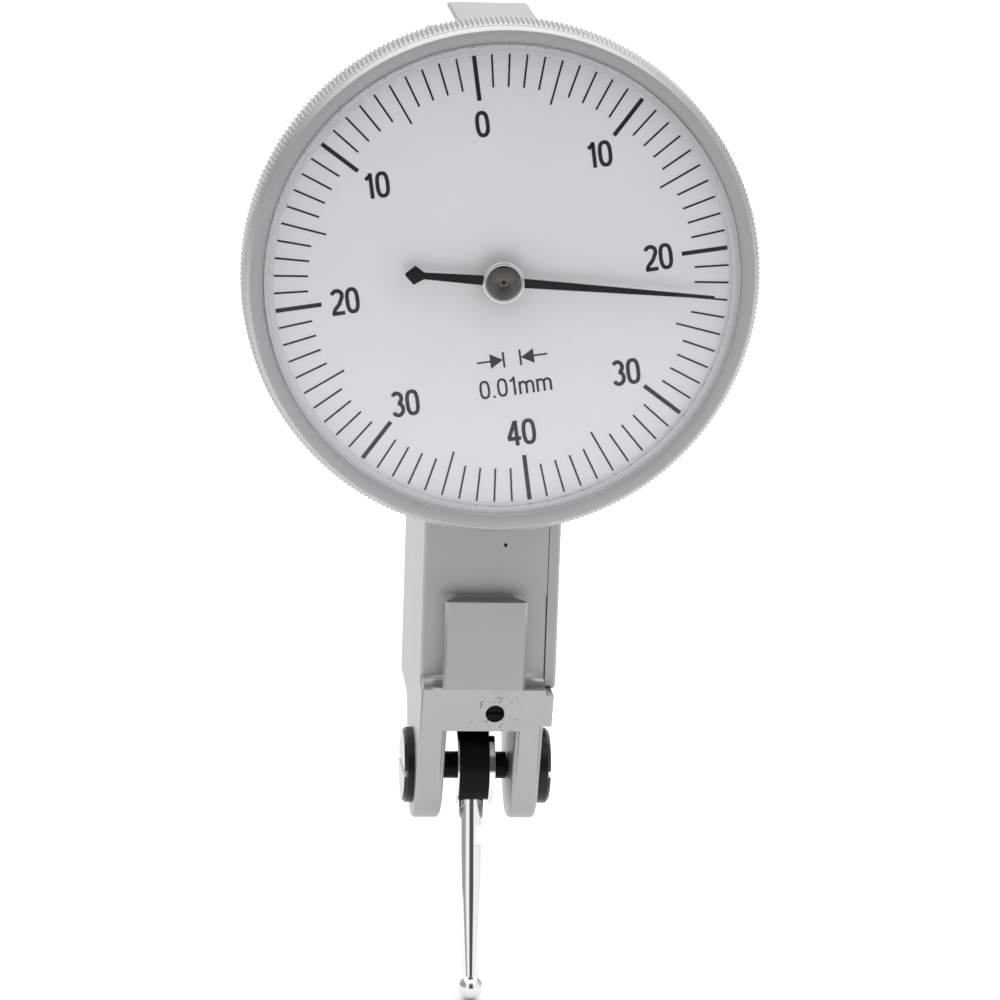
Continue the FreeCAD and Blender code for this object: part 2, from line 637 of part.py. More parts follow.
def make_pivot_screws():
    """Two shouldered screws: a wide slotted head, a threaded shank and a smooth tip."""
    reach = S.body_half_width - S.fork_gap / 2
    tip_reach = reach + S.axle_end_gap + S.pivot_tip_length
    screws = []
    for name, side, head in (("left", -1, S.pivot_head_left), ("right", 1, S.pivot_head_right)):
        blank = new_body("pivot_screw_" + name + "_blank")
        profile = sketch_on(blank, "XY_Plane")
        draw_polygon(profile, (
            (-head, 0), (-head, S.pivot_head_radius - S.edge_break),
            (S.edge_break - head, S.pivot_head_radius),
            (0, S.pivot_head_radius), (0, S.pivot_thread_radius), (reach, S.pivot_thread_radius),
            (reach, S.pivot_tip_radius), (tip_reach, S.pivot_tip_radius), (tip_reach, 0)))
        add_revolution(blank, profile, "H_Axis")
        slot = box("pivot_slot_" + name, -head, -S.pivot_head_radius,
                   -S.screw_slot_width, S.screw_slot_depth, 2 * S.pivot_head_radius,
                   2 * S.screw_slot_width)
        screw = cut("pivot_screw_" + name, blank, slot)
        turn = 180 if side > 0 else 0
        screw.Placement = FreeCAD.Placement(Vector(0, 0, 0), Rotation(Vector(0, 0, 1), turn))
        bind(screw, Placement__Base__x=side * S.body_half_width, Placement__Base__y=PIVOT_Y,
             Placement__Base__z=PIVOT_Z)
        screws.append(screw)
    group("pivot_screws", screws)


def make_set_screw():
    tip = PIVOT_Y - S.arm_root_width / 2 - S.set_screw_gap
    head = FRONT_DOVETAIL + S.set_screw_sink
    z = PIVOT_Z + S.set_screw_rise
    bar = cylinder("set_screw_blank", S.set_screw_radius, tip - head, S.set_screw_x, head, z, "y")
    slot = box("set_screw_slot", S.set_screw_x - S.set_screw_radius, head,
               z - S.screw_slot_width / 2, 2 * S.set_screw_radius, S.screw_slot_depth,
               S.screw_slot_width)
    cut("set_screw", bar, slot).Label = "set_screw"


def stop_pin_places():
    return ((PIVOT_Y - S.stop_pin_offset, -S.stop_pin_drop),
            (PIVOT_Y + S.stop_pin_offset, -S.stop_pin_drop))


def make_stop_pins():
    start = CAVITY_LEFT - S.jewel_length
    group("stop_pins", [
        cylinder("stop_pin_%d" % index, S.stop_pin_radius, S.stop_pin_end - start, start, y, z, "x")
        for index, (y, z) in enumerate(stop_pin_places(), start=1)])


# ---------------------------------------------------------------- movement carriers
def make_movement_plate():
    plate = new_body("movement_plate")
    outline = sketch_on(plate, "YZ_Plane", S.plate_left)
    front = CAVITY_FRONT + S.plate_margin
    rear = CAVITY_BACK - S.plate_margin
    top = S.post_height + S.plate_overhang
    low = -S.bridge_setback - S.bridge_low
    waist = PIVOT_Y + S.bridge_setback
    draw_polygon(outline, (
        (front, low), (waist, low), (rear - 2 * S.plate_overhang, -top), (rear, -top),
        (rear, top), (front, top)))
    add_pad(plate, outline, S.plate_thickness)
    holes = sketch_on(plate, "YZ_Plane")
    for y, z in post_places():
        draw_circle(holes, y, z, S.screw_radius)
    draw_circle(holes, PIVOT_Y, 0, S.jewel_radius)
    draw_circle(holes, bridge_middle(), S.bridge_foot_rise, S.screw_radius)
    add_pocket(plate, holes)


def bridge_middle():
    return (BRIDGE_FRONT + BRIDGE_BACK) / 2


def make_movement_screws():
    head_x = PLATE_RIGHT + S.screw_head_length
    length = S.screw_length + S.plate_thickness - S.end_shake
    group("movement_screws", [
        slotted_screw("movement_screw_%d" % index, length, head_x, y, z, "-x", 37 * index)
        for index, (y, z) in enumerate(post_places(), start=1)])


def make_centre_bridge():
    """A small arm off the movement plate that holds the centre arbor's rear jewel."""
    arm = box("bridge_arm", -S.bridge_reach, BRIDGE_FRONT, -S.bridge_low,
              S.bridge_reach + S.plate_left, S.bridge_thickness, S.bridge_low + S.bridge_high)
    half_foot = S.screw_radius + S.edge_break
    foot_left = S.plate_left - 2 * S.screw_radius
    foot = box("bridge_foot", foot_left, bridge_middle() - half_foot, S.bridge_high,
               S.plate_left - foot_left, 2 * half_foot,
               S.bridge_foot_rise + half_foot - S.bridge_high)
    web = box("bridge_web", foot_left, BRIDGE_FRONT, S.bridge_high - S.edge_break,
              S.plate_left - foot_left, S.bridge_thickness, 2 * S.edge_break)
    bore = cylinder("bridge_bore", S.jewel_radius, 2 * S.bridge_thickness, 0,
                    BRIDGE_FRONT - S.bridge_thickness / 2, 0, "y")
    thread = cylinder("bridge_thread", S.screw_radius, S.plate_left, foot_left - S.edge_break,
                      bridge_middle(), S.bridge_foot_rise, "x")
    solid = fuse("bridge_blank", fuse("bridge_joined", arm, foot), web)
    cut("centre_bridge", cut("bridge_bored", solid, bore), thread).Label = "centre_bridge"
    screw = slotted_screw("bridge_screw", 2 * S.plate_thickness, PLATE_RIGHT + S.screw_head_length,
                          bridge_middle(), S.bridge_foot_rise, "-x", 23)
    screw.Label = "bridge_screw"


def bored_bar(name, radius, bore, length, x, y, z, along):
    bar = cylinder(name + "_bar", radius, length, x, y, z, along)
    hole = cylinder(name + "_hole", bore, length, x, y, z, along)
    return cut(name, bar, hole)


def make_jewels():
    group("jewel_bearings", [
        bored_bar("jewel_left", S.jewel_radius, S.jewel_bore_radius, S.jewel_length,
                  CAVITY_LEFT - S.jewel_length, PIVOT_Y, 0, "x"),
        bored_bar("jewel_right", S.jewel_radius, S.jewel_bore_radius, S.jewel_length,
                  S.plate_left, PIVOT_Y, 0, "x"),
        bored_bar("jewel_bridge", S.jewel_radius, S.jewel_bore_radius, S.jewel_length,
                  0, BRIDGE_FRONT, 0, "y")])
    front = bored_bar("front_jewel", S.front_jewel_radius, S.arbor_radius + S.arbor_fit,
                      S.jewel_length, 0, PAN_FLOOR, 0, "y")
    front.Label = "front_jewel"


def spring_face_y():
    """Front face of the leaf spring, just behind the lever's pin."""
    return PIVOT_Y + S.spring_pin_radius + S.spring_gap


def spring_left():
    return CAVITY_LEFT + S.spring_width


def spring_screw_place():
    rear = spring_face_y() + S.spring_thickness + S.spring_foot_height / 2
    return (rear, -S.spring_foot_drop - S.spring_foot_height / 2)


def make_lever_spring():
    """A leaf spring on a foot screwed to the left wall; it presses the lever's pin."""
    leaf = box("lever_spring", spring_left(), spring_face_y(), -SPRING_TIP_DROP,
               S.spring_width, S.spring_thickness, SPRING_TIP_DROP - S.spring_foot_drop)
    leaf.Label = "lever_spring"
    right = spring_left() + S.spring_width
    block = box("spring_foot_blank", CAVITY_LEFT, spring_face_y() + S.spring_thickness,
                -S.spring_foot_drop - S.spring_foot_height, right - CAVITY_LEFT,
                S.spring_foot_height, S.spring_foot_height)
    y, z = spring_screw_place()
    hole = cylinder("spring_foot_hole", S.screw_radius, right - CAVITY_LEFT, CAVITY_LEFT, y, z, "x")
    cut("spring_foot", block, hole).Label = "spring_foot"
    length = right - CAVITY_LEFT + S.side_wall / 2 - S.end_shake
    screw = slotted_screw("spring_screw", length, right + S.screw_head_length, y, z, "-x", 65)
    screw.Label = "spring_screw"


# ---------------------------------------------------------------- gear train
def gear_outline(teeth, module, shares):
    """Corner points of a gear with straight-sided teeth; a tooth points along +x."""
    thickness, tip, root = shares
    pitch_radius = teeth * module / 2
    tip_radius = pitch_radius + tip * module
    root_radius = pitch_radius - root * module
    half_pitch = thickness * math.pi / teeth
    points = []
    for index in range(teeth):
        middle = 2 * math.pi * index / teeth
        for radius, spread in ((root_radius, -1.35), (tip_radius, -0.55), (tip_radius, 0.55),
                               (root_radius, 1.35)):
            turn = middle + spread * half_pitch * pitch_radius / radius
            points.append((radius * math.cos(turn), radius * math.sin(turn)))
    return points


def tooth_shares():
    return (S.tooth_share.value, S.addendum_share.value, S.dedendum_share.value)


def prism(points, to_space, direction):
    """A solid swept from a closed outline along a direction."""
    corners = [to_space(u, v) for u, v in points]
    return Part.Face(Part.makePolygon(corners + corners[:1])).extrude(direction)


def make_sector_gear():
    """A narrow toothed sector on the end of the lever, its middle tooth pointing up."""
    radius = SECTOR_RADIUS.value
    module = S.sector_module.value
    thickness, tip, root = tooth_shares()
    tip_radius = radius + tip * module
    root_radius = radius - root * module
    pitch_angle = math.pi * module / radius
    reach = int(math.radians(S.sector_half_angle.value) / pitch_angle)
    half = thickness * pitch_angle / 2
    edge = (reach + 0.5) * pitch_angle
    foot = radius - S.sector_length.value
    foot_half = S.arm_tip_width.value / 2
    points = [(foot_half, foot), (root_radius * math.sin(edge), root_radius * math.cos(edge))]
    for index in range(reach, -reach - 1, -1):
        for level, spread in ((root_radius, 1.35), (tip_radius, 0.55), (tip_radius, -0.55),
                              (root_radius, -1.35)):
            turn = index * pitch_angle + spread * half
            points.append((level * math.sin(turn), level * math.cos(turn)))
    points.append((-root_radius * math.sin(edge), root_radius * math.cos(edge)))
    points.append((-foot_half, foot))
    blank = prism(points, lambda u, v: Vector(0, u, v), Vector(S.sector_thickness.value, 0, 0))
    for height in rivet_heights():
        blank = blank.cut(Part.makeCylinder(S.rivet_radius.value, 1, Vector(0, 0, number(height)),
                                            Vector(1, 0, 0)))
    carved("sector_gear", blank, S.sector_left, PIVOT_Y, PIVOT_Z)


def rivet_heights():
    """Heights above the stylus pivot of the rivets that join sector and lever."""
    foot = SECTOR_RADIUS - S.sector_length
    return (foot + 2 * S.rivet_radius, SECTOR_RADIUS - S.arm_tip_drop - 2 * S.rivet_radius)


def make_pinion(name, teeth, module, length, bore):
    """A small pinion along +x from its own origin, with a tooth gap facing down."""
    points = gear_outline(teeth, module, tooth_shares())
    turn = math.pi / 2 + math.pi / teeth
    turned = [(u * math.cos(turn) - v * math.sin(turn), u * math.sin(turn) + v * math.cos(turn))
              for u, v in points]
    blank = prism(turned, lambda u, v: Vector(0, u, v), Vector(length, 0, 0))
    return blank.cut(Part.makeCylinder(bore, length, Vector(0, 0, 0), Vector(1, 0, 0)))


def make_crown_arbor():
    """The cross shaft: pinion driven by the sector, crown gear that drives the pointer."""
    left = CAVITY_LEFT + S.end_shake
    right = S.plate_left - S.end_shake
    tip = S.jewel_length - S.end_shake
    shaft = turned_piece("crown_arbor", "XY_Plane", (
        (CAVITY_LEFT - tip, 0), (CAVITY_LEFT - tip, S.arbor_pivot_radius),
        (left, S.arbor_pivot_radius), (left, S.arbor_radius), (right, S.arbor_radius),
        (right, S.arbor_pivot_radius), (S.plate_left + tip, S.arbor_pivot_radius),
        (S.plate_left + tip, 0)), "H_Axis")
    place(shaft, 0, PIVOT_Y, 0)
    length = (S.arbor_pinion_right - S.arbor_pinion_left).value
    pinion = make_pinion("arbor_pinion", int(S.arbor_pinion_teeth.value), S.sector_module.value,
                         length, S.arbor_radius.value)
    carved("arbor_pinion", pinion, S.arbor_pinion_left, PIVOT_Y, 0)
    collet = bored_bar("crown_collet", S.crown_hub_radius, S.arbor_radius, S.crown_web,
                       CROWN_BACK_X - S.crown_web, PIVOT_Y, 0, "x")
    collet.Label = "crown_collet"


def make_crown_gear():
    """A face gear: a disc with teeth that stand up along +x near its rim."""
    teeth = int(S.crown_teeth.value)
    module = S.crown_module.value
    thickness, tip, root = tooth_shares()
    outer = CROWN_RADIUS.value + S.crown_face_width.value / 2
    inner = CROWN_RADIUS.value - S.crown_face_width.value / 2
    web = S.crown_web.value
    across = Vector(1, 0, 0)
    disc = Part.makeCylinder(outer, web, Vector(0, 0, 0), across)
    disc = disc.cut(Part.makeCylinder(S.arbor_radius.value, web, Vector(0, 0, 0), across))
    rise = (tip + root) * module
    half = thickness * math.pi * module / 2
    section = ((web / 2, -1.35 * half), (web, -1.35 * half), (web + rise, -0.55 * half),
               (web + rise, 0.55 * half), (web, 1.35 * half), (web / 2, 1.35 * half))
    trim = Part.makeCylinder(outer, 2 * web, Vector(0, 0, 0), across)
    tooth = prism(section, lambda u, v: Vector(u, -inner, v), Vector(0, inner - outer - web, 0))
    tooth = tooth.common(trim)
    ring = []
    for index in range(teeth):
        copy = tooth.copy()
        copy.rotate(Vector(0, 0, 0), across, (index + 0.5) * 360 / teeth)
        ring.append(copy)
    carved("crown_gear", disc.multiFuse(ring).removeSplitter(), CROWN_BACK_X, PIVOT_Y, 0)


def make_centre_arbor():
    """The dial-axis shaft: crown-driven pinion at the back, pointer at the front."""
    rear = BRIDGE_FRONT - S.end_shake
    rear_tip = BRIDGE_FRONT + S.jewel_length - S.end_shake
    front = BOSS_FRONT + S.boss_dish
    turned_piece("centre_arbor", "XY_Plane", (
        (0, front), (S.arbor_radius, front), (S.arbor_radius, rear),
        (S.arbor_pivot_radius, rear), (S.arbor_pivot_radius, rear_tip), (0, rear_tip)), "V_Axis")
    teeth = int(S.centre_pinion_teeth.value)
    length = S.centre_pinion_length.value
    points = gear_outline(teeth, S.crown_module.value, tooth_shares())
    blank = prism(points, lambda u, v: Vector(-u, 0, v), Vector(0, length, 0))
    bore = Part.makeCylinder(S.arbor_radius.value, length, Vector(0, 0, 0), Vector(0, 1, 0))
    carved("centre_pinion", blank.cut(bore), 0, MESH_Y - S.centre_pinion_length / 2, 0)


# ---------------------------------------------------------------- lever and stylus
def make_lever_arm():
    arm = new_body("lever_arm")
    disc = sketch_on(arm, "YZ_Plane")
    draw_circle(disc, 0, 0, S.cheek_radius)
    add_pad(arm, disc, S.cheek_thickness)
    strip = sketch_on(arm, "YZ_Plane")
    root = S.arm_root_width / 2
    tip = S.arm_tip_width / 2
    top = S.pivot_drop - S.arm_tip_drop
    draw_polygon(strip, ((-root, 0), (root, 0), (tip, top), (-tip, top)))
    add_pad(arm, strip, S.cheek_thickness)
    holes = sketch_on(arm, "YZ_Plane")
    draw_circle(holes, 0, 0, S.axle_radius)
    draw_circle(holes, 0, S.pivot_drop - SPRING_PIN_DROP, S.spring_pin_radius)
    for height in rivet_heights():
        draw_circle(holes, 0, height, S.rivet_radius)
    add_pocket(arm, holes)
    place(arm, S.cheek_left, PIVOT_Y, PIVOT_Z)


def make_lever_fittings():
    pin_left = spring_left() - S.edge_break
    pin = cylinder("spring_pin", S.spring_pin_radius, S.cheek_left + S.cheek_thickness - pin_left,
                   pin_left, PIVOT_Y, -SPRING_PIN_DROP, "x")
    pin.Label = "spring_pin"
    start = S.cheek_left - S.edge_break
    length = S.sector_left + S.sector_thickness + S.edge_break - start
    group("sector_rivets", [
        cylinder("sector_rivet_%d" % index, S.rivet_radius, length, start, PIVOT_Y,
                 PIVOT_Z + height, "x")
        for index, height in enumerate(rivet_heights(), start=1)])
    washer_left = -S.hub_half_gap - S.washer_thickness
    washer = bored_bar("friction_washer", S.washer_radius, S.axle_radius, S.washer_thickness,
                       washer_left, PIVOT_Y, PIVOT_Z, "x")
    washer.Label = "friction_washer"


def make_lever_axle():
    """The black cross pin, with a smooth hole in each end for the pivot screws' tips."""
    half = S.fork_gap / 2 - S.axle_end_gap
    bore = S.pivot_tip_radius + S.hub_fit
    deep = S.pivot_tip_length + S.edge_break
    points = [(half - deep, 0), (half - deep, bore), (half, bore), (half, S.axle_radius)]
    mirror = [(-x, y) for x, y in reversed(points)]
    axle = turned_piece("lever_axle", "XY_Plane", points + mirror, "H_Axis")
    place(axle, 0, PIVOT_Y, PIVOT_Z)


def make_swivel_hub():
    """The black disc that the stylus screws into, gripped between lever and washer."""
    hub = new_body("swivel_hub")
    left = S.hub_side_gap - S.hub_half_gap
    width = S.cheek_left - S.hub_side_gap - left
    rim = sketch_on(hub, "YZ_Plane", left)
    draw_circle(rim, 0, 0, S.hub_radius)
    draw_circle(rim, 0, 0, S.axle_radius + S.hub_fit)
    add_pad(hub, rim, width)
    flat = sketch_on(hub, "YZ_Plane", left)
    draw_box(flat, -S.hub_radius, S.hub_radius, -2 * S.hub_radius, -S.hub_flat)
    add_pocket(hub, flat, width, reverse=True)
    thread = sketch_on(hub, "XY_Plane", -S.hub_flat)
    draw_circle(thread, stylus_x(), 0, S.stylus_thread_radius)
    add_pocket(hub, thread, S.stylus_thread_length, reverse=True)
    place(hub, 0, PIVOT_Y, PIVOT_Z, Vector(1, 0, 0), -S.stylus_tilt)


def stylus_x():
    return (S.cheek_left - S.hub_half_gap) / 2


def make_stylus():
    """A slim taper turned in one piece, with two spanner flats and a separate ball."""
    blank = new_body("stylus_blank")
    profile = sketch_on(blank, "XZ_Plane")
    thread_top = S.stylus_thread_length - S.edge_break - S.hub_flat
    end = -S.stylus_length + S.ball_radius / 2
    draw_polygon(profile, (
        (0, thread_top), (S.stylus_thread_radius, thread_top),
        (S.stylus_thread_radius, -S.hub_flat), (S.stylus_radius, -S.hub_flat),
        (S.stylus_radius, -S.hub_flat - S.stylus_straight), (S.stylus_neck_radius, end),
        (0, end)))
    add_revolution(blank, profile, "V_Axis")
    piece = blank
    for name, side_x in (("left", -2 * S.stylus_radius), ("right", S.flat_half_width)):
        width = 2 * S.stylus_radius - S.flat_half_width if name == "left" else S.stylus_radius
        tool = box("flat_" + name, side_x, -S.stylus_radius, -S.flat_start - S.flat_length,
                   width, 2 * S.stylus_radius, S.flat_length)
        piece = cut("stylus_flat_" + name, piece, tool)
    place(piece, 0, 0, 0, Vector(0, 0, 1), S.flat_turn)
    seat = document.addObject("Part::Sphere", "ball_seat")
    bind(seat, Radius=S.ball_radius, Placement__Base__z=-S.stylus_length)
    stylus = cut("stylus", piece, seat)
    stylus.Label = "stylus"
    tilt = -S.stylus_tilt
    place(stylus, stylus_x(), PIVOT_Y, PIVOT_Z, Vector(1, 0, 0), tilt)
    ball = document.addObject("Part::Sphere", "ball_round")
    bind(ball, Radius=S.ball_radius, Placement__Base__z=-S.stylus_length)
    holder = group("stylus_ball", [ball])
    place(holder, stylus_x(), PIVOT_Y, PIVOT_Z, Vector(1, 0, 0), tilt)


# ---------------------------------------------------------------- dial side
def make_case_plate():
    """The round plate on the body's front; the bezel turns on its rim."""
    rim = BEZEL_BORE - S.bezel_fit
    groove = BEZEL_BORE - S.wire_width / 2 - S.wire_slack
    wire_back = WIRE_FRONT + S.wire_length + S.wire_slack
    bore = S.front_jewel_radius
    plate = turned_piece("case_plate", "XY_Plane", (
        (bore, FRONT), (CASE_HUB, FRONT), (CASE_HUB, RIM_BACK),
        (rim, RIM_BACK), (rim, wire_back), (groove, wire_back),
        (groove, WIRE_FRONT - S.wire_slack), (rim, WIRE_FRONT - S.wire_slack),
        (rim, RIM_FRONT), (CASE_PAN, RIM_FRONT), (CASE_PAN, PAN_FLOOR),
        (bore, PAN_FLOOR)), "V_Axis")
    document.recompute()
    holes = sketch_on(plate, "XZ_Plane")
    for side in (1, -1):
        draw_circle(holes, 0, side * CASE_SCREW_Z, S.screw_radius)
    add_pocket(plate, holes)


def make_bezel():
    """The turning rim: outer grip band, dished front ring, crystal seat and dial lip."""
    groove = BEZEL_BORE + S.wire_width / 2
    wire_back = WIRE_FRONT + S.wire_length
    outer = S.bezel_radius
    turned_piece("bezel", "XY_Plane", (
        (BEZEL_BORE, BEZEL_BACK), (outer - S.bezel_back_break, BEZEL_BACK),
        (outer, BEZEL_BACK - S.bezel_back_break), (outer, BEZEL_FRONT + S.bezel_bevel_length),
        (BEZEL_FACE, BEZEL_FRONT), (CRYSTAL_RADIUS, BEZEL_FRONT + S.bezel_dish),
        (CRYSTAL_RADIUS, CRYSTAL_SEAT), (LIP_RADIUS, CRYSTAL_SEAT),
        (LIP_RADIUS, DIAL_FACE), (BEZEL_BORE, DIAL_FACE),
        (BEZEL_BORE, WIRE_FRONT), (groove, WIRE_FRONT), (groove, wire_back),
        (BEZEL_BORE, wire_back)), "V_Axis")


def make_crystal():
    """A cup-shaped window: a straight rim wall and a slightly domed front."""
    edge_front = CRYSTAL_SEAT - S.crystal_edge
    rise = S.crystal_rise
    outer_sphere = (CRYSTAL_RADIUS * CRYSTAL_RADIUS + rise * rise) / (2 * rise)
    inner_edge = LIP_RADIUS
    inner_rise = rise + S.crystal_shoulder - S.crystal_thickness
    inner_sphere = (inner_edge * inner_edge + inner_rise * inner_rise) / (2 * inner_rise)
    outer = document.addObject("Part::Sphere", "crystal_outer")
    bind(outer, Radius=outer_sphere, Placement__Base__y=edge_front - rise + outer_sphere)
    inner = document.addObject("Part::Sphere", "crystal_inner")
    bind(inner, Radius=inner_sphere,
         Placement__Base__y=edge_front + S.crystal_shoulder - inner_rise + inner_sphere)
    core = cylinder("crystal_core", LIP_RADIUS, S.crystal_edge + 2 * rise, 0,
                    CRYSTAL_SEAT - S.crystal_edge - 2 * rise, 0, "y")
    hollow = document.addObject("Part::Common", "crystal_hollow")
    hollow.Base = core
    hollow.Tool = inner
    blank = cylinder("crystal_blank", CRYSTAL_RADIUS - S.crystal_fit, S.crystal_edge + 2 * rise, 0,
                     edge_front - 2 * rise, 0, "y")
    dome = document.addObject("Part::Common", "crystal_dome")
    dome.Base = blank
    dome.Tool = outer
    cut("crystal", dome, hollow).Label = "crystal"


def make_dial_stack():
    dial = bored_bar("dial_face", BEZEL_BORE - S.bezel_fit, S.dial_hole_radius,
                     S.dial_thickness, 0, DIAL_FACE, 0, "y")
    dial.Label = "dial_face"
    ring = bored_bar("dial_clamp_ring", BEZEL_BORE,
                     BEZEL_BORE - S.clamp_ring_width, S.clamp_ring_length,
                     0, DIAL_BACK, 0, "y")
    ring.Label = "dial_clamp_ring"
    outer = BEZEL_BORE + S.wire_width / 2
    hoop = bored_bar("wire_hoop", outer, outer - S.wire_width, S.wire_length, 0, WIRE_FRONT, 0, "y")
    gap = box("wire_gap", -S.wire_opening / 2, WIRE_FRONT, CASE_PAN, S.wire_opening,
              S.wire_length, CASE_PAN)
    cut("retaining_wire", hoop, gap).Label = "retaining_wire"


def make_pointer():
    """A flat hand: long tapered arm, short tail with a spade end."""
    pointer = new_body("pointer")
    outline = sketch_on(pointer, "XZ_Plane")
    right = ((S.pointer_tip_width / 2, POINTER_REACH), (S.pointer_root_width / 2, S.boss_radius),
             (S.tail_root_width / 2, -S.boss_radius), (S.tail_neck_width / 2, -S.tail_neck),
             (S.tail_wide_width / 2, -S.tail_wide), (S.tail_root_width / 8, -S.tail_length))
    left = [(-x, z) for x, z in reversed(right)]
    draw_polygon(outline, list(right) + left)
    add_pad(pointer, outline, S.pointer_thickness)
    bore = sketch_on(pointer, "XZ_Plane")
    draw_circle(bore, 0, 0, S.arbor_radius)
    add_pocket(pointer, bore)
    place(pointer, 0, POINTER_BACK, 0, Vector(0, 1, 0), S.pointer_angle)


def make_pointer_boss():
    dish = BOSS_FRONT + S.boss_dish
    rim = S.boss_radius - S.boss_rim
    turned_piece("pointer_boss", "XY_Plane", (
        (S.arbor_radius, POINTER_FRONT), (S.boss_radius, POINTER_FRONT),
        (S.boss_radius, dish), (S.boss_radius - S.boss_dish, BOSS_FRONT), (rim, BOSS_FRONT),
        (rim - S.boss_dish, dish), (S.arbor_radius, dish)), "V_Axis")
    bush = bored_bar("pointer_bush", S.boss_radius / 2, S.arbor_radius,
                     S.pointer_lift - 2 * S.end_shake, 0, POINTER_BACK, 0, "y")
    bush.Label = "pointer_bush"


def make_hairspring():
    """A flat spiral behind the dial, its outer end against a stud on the case plate."""
    steps_per_turn = 18
    half = S.hairspring_strip.value / 2
    steps = steps_per_turn * int(S.hairspring_turns.value)
    inside = []
    outside = []
    for index in range(steps + 1):
        turn = 2 * math.pi * index / steps_per_turn
        radius = S.hairspring_inner.value + S.hairspring_pitch.value * index / steps_per_turn
        inside.append(((radius - half) * math.cos(turn), (radius - half) * math.sin(turn)))
        outside.append(((radius + half) * math.cos(turn), (radius + half) * math.sin(turn)))
    strip = prism(inside + outside[::-1], lambda u, v: Vector(u, 0, v),
                  Vector(0, S.hairspring_height.value, 0))
    carved("hairspring", strip, 0, COLLET_FRONT, 0)
    end = S.hairspring_inner + S.hairspring_pitch * S.hairspring_turns + S.hairspring_strip / 2
    stud = cylinder("hairspring_stud", S.stud_radius, PAN_FLOOR - COLLET_FRONT,
                    end + S.stud_radius, COLLET_FRONT, 0, "y")
    stud.Label = "hairspring_stud"
    collet = bored_bar("hairspring_collet", S.collet_radius, S.arbor_radius, S.collet_length,
                       0, COLLET_FRONT, 0, "y")
    collet.Label = "hairspring_collet"


# ---------------------------------------------------------------- whole instrument
NODES = (
    "body_housing", "side_cover", "cover_screws", "case_plate", "case_screws", "pivot_screws",
    "set_screw", "stop_pins", "movement_plate", "movement_screws", "centre_bridge",
    "bridge_screw", "jewel_bearings", "front_jewel", "lever_spring", "spring_foot",
    "spring_screw", "hairspring", "hairspring_stud",
    "lever_arm", "lever_axle", "friction_washer", "sector_gear", "sector_rivets", "spring_pin",
    "swivel_hub", "stylus", "stylus_ball",
    "crown_arbor", "arbor_pinion", "crown_gear", "crown_collet",
    "centre_arbor", "centre_pinion", "pointer", "pointer_boss", "pointer_bush",
    "hairspring_collet",
    "bezel", "crystal", "dial_face", "dial_clamp_ring", "retaining_wire",
)


def build():
    make_body_housing()
    make_side_cover()
    make_cover_screws()
    make_case_plate()
    make_case_screws()
    make_pivot_screws()
    make_set_screw()
    make_stop_pins()
    make_movement_plate()
    make_movement_screws()
    make_centre_bridge()
    make_jewels()
    make_lever_spring()
    make_lever_arm()
    make_lever_axle()
    make_lever_fittings()
    make_sector_gear()
    make_swivel_hub()
    make_stylus()
    make_crown_arbor()
    make_crown_gear()
    make_centre_arbor()
    make_bezel()
    make_crystal()
    make_dial_stack()
    make_pointer()
    make_pointer_boss()
    make_hairspring()
    document.recompute()


def check_and_export():
    """Stop on any failed object or bad solid, then write one STEP file for each node."""
    for item in document.Objects:
        if "Invalid" in item.State or "Error" in item.State:
            raise ValueError("%s failed: %s" % (item.Name, item.State))
    found = {item.Label: item for item in document.Objects if item.Label in NODES}
    missing = [node for node in NODES if node not in found]
    if missing:
        raise ValueError("missing pieces: %s" % missing)
    for node in NODES:
        shape = found[node].Shape
        if shape.isNull() or not shape.isValid() or not shape.Solids:
            raise ValueError("%s has no sound solid" % node)
    os.makedirs("parts", exist_ok=True)
    for node in NODES:
        found[node].Shape.exportStep("parts/%s.step" % node)
        print("%-20s solids %d volume %9.3f mm3" % (
            node, len(found[node].Shape.Solids), found[node].Shape.Volume))


build()
check_and_export()
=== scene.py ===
"""Visible pieces, finishes and studio for a dial test indicator.

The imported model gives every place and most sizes. Lengths written here are in
millimetres and go through MM; Blender works in metres. +Z is up, the dial faces -Y.
"""
import json
import math

import bmesh
import bpy
from bpy.props import FloatProperty, FloatVectorProperty, IntProperty, PointerProperty
from mathutils import Matrix, Vector

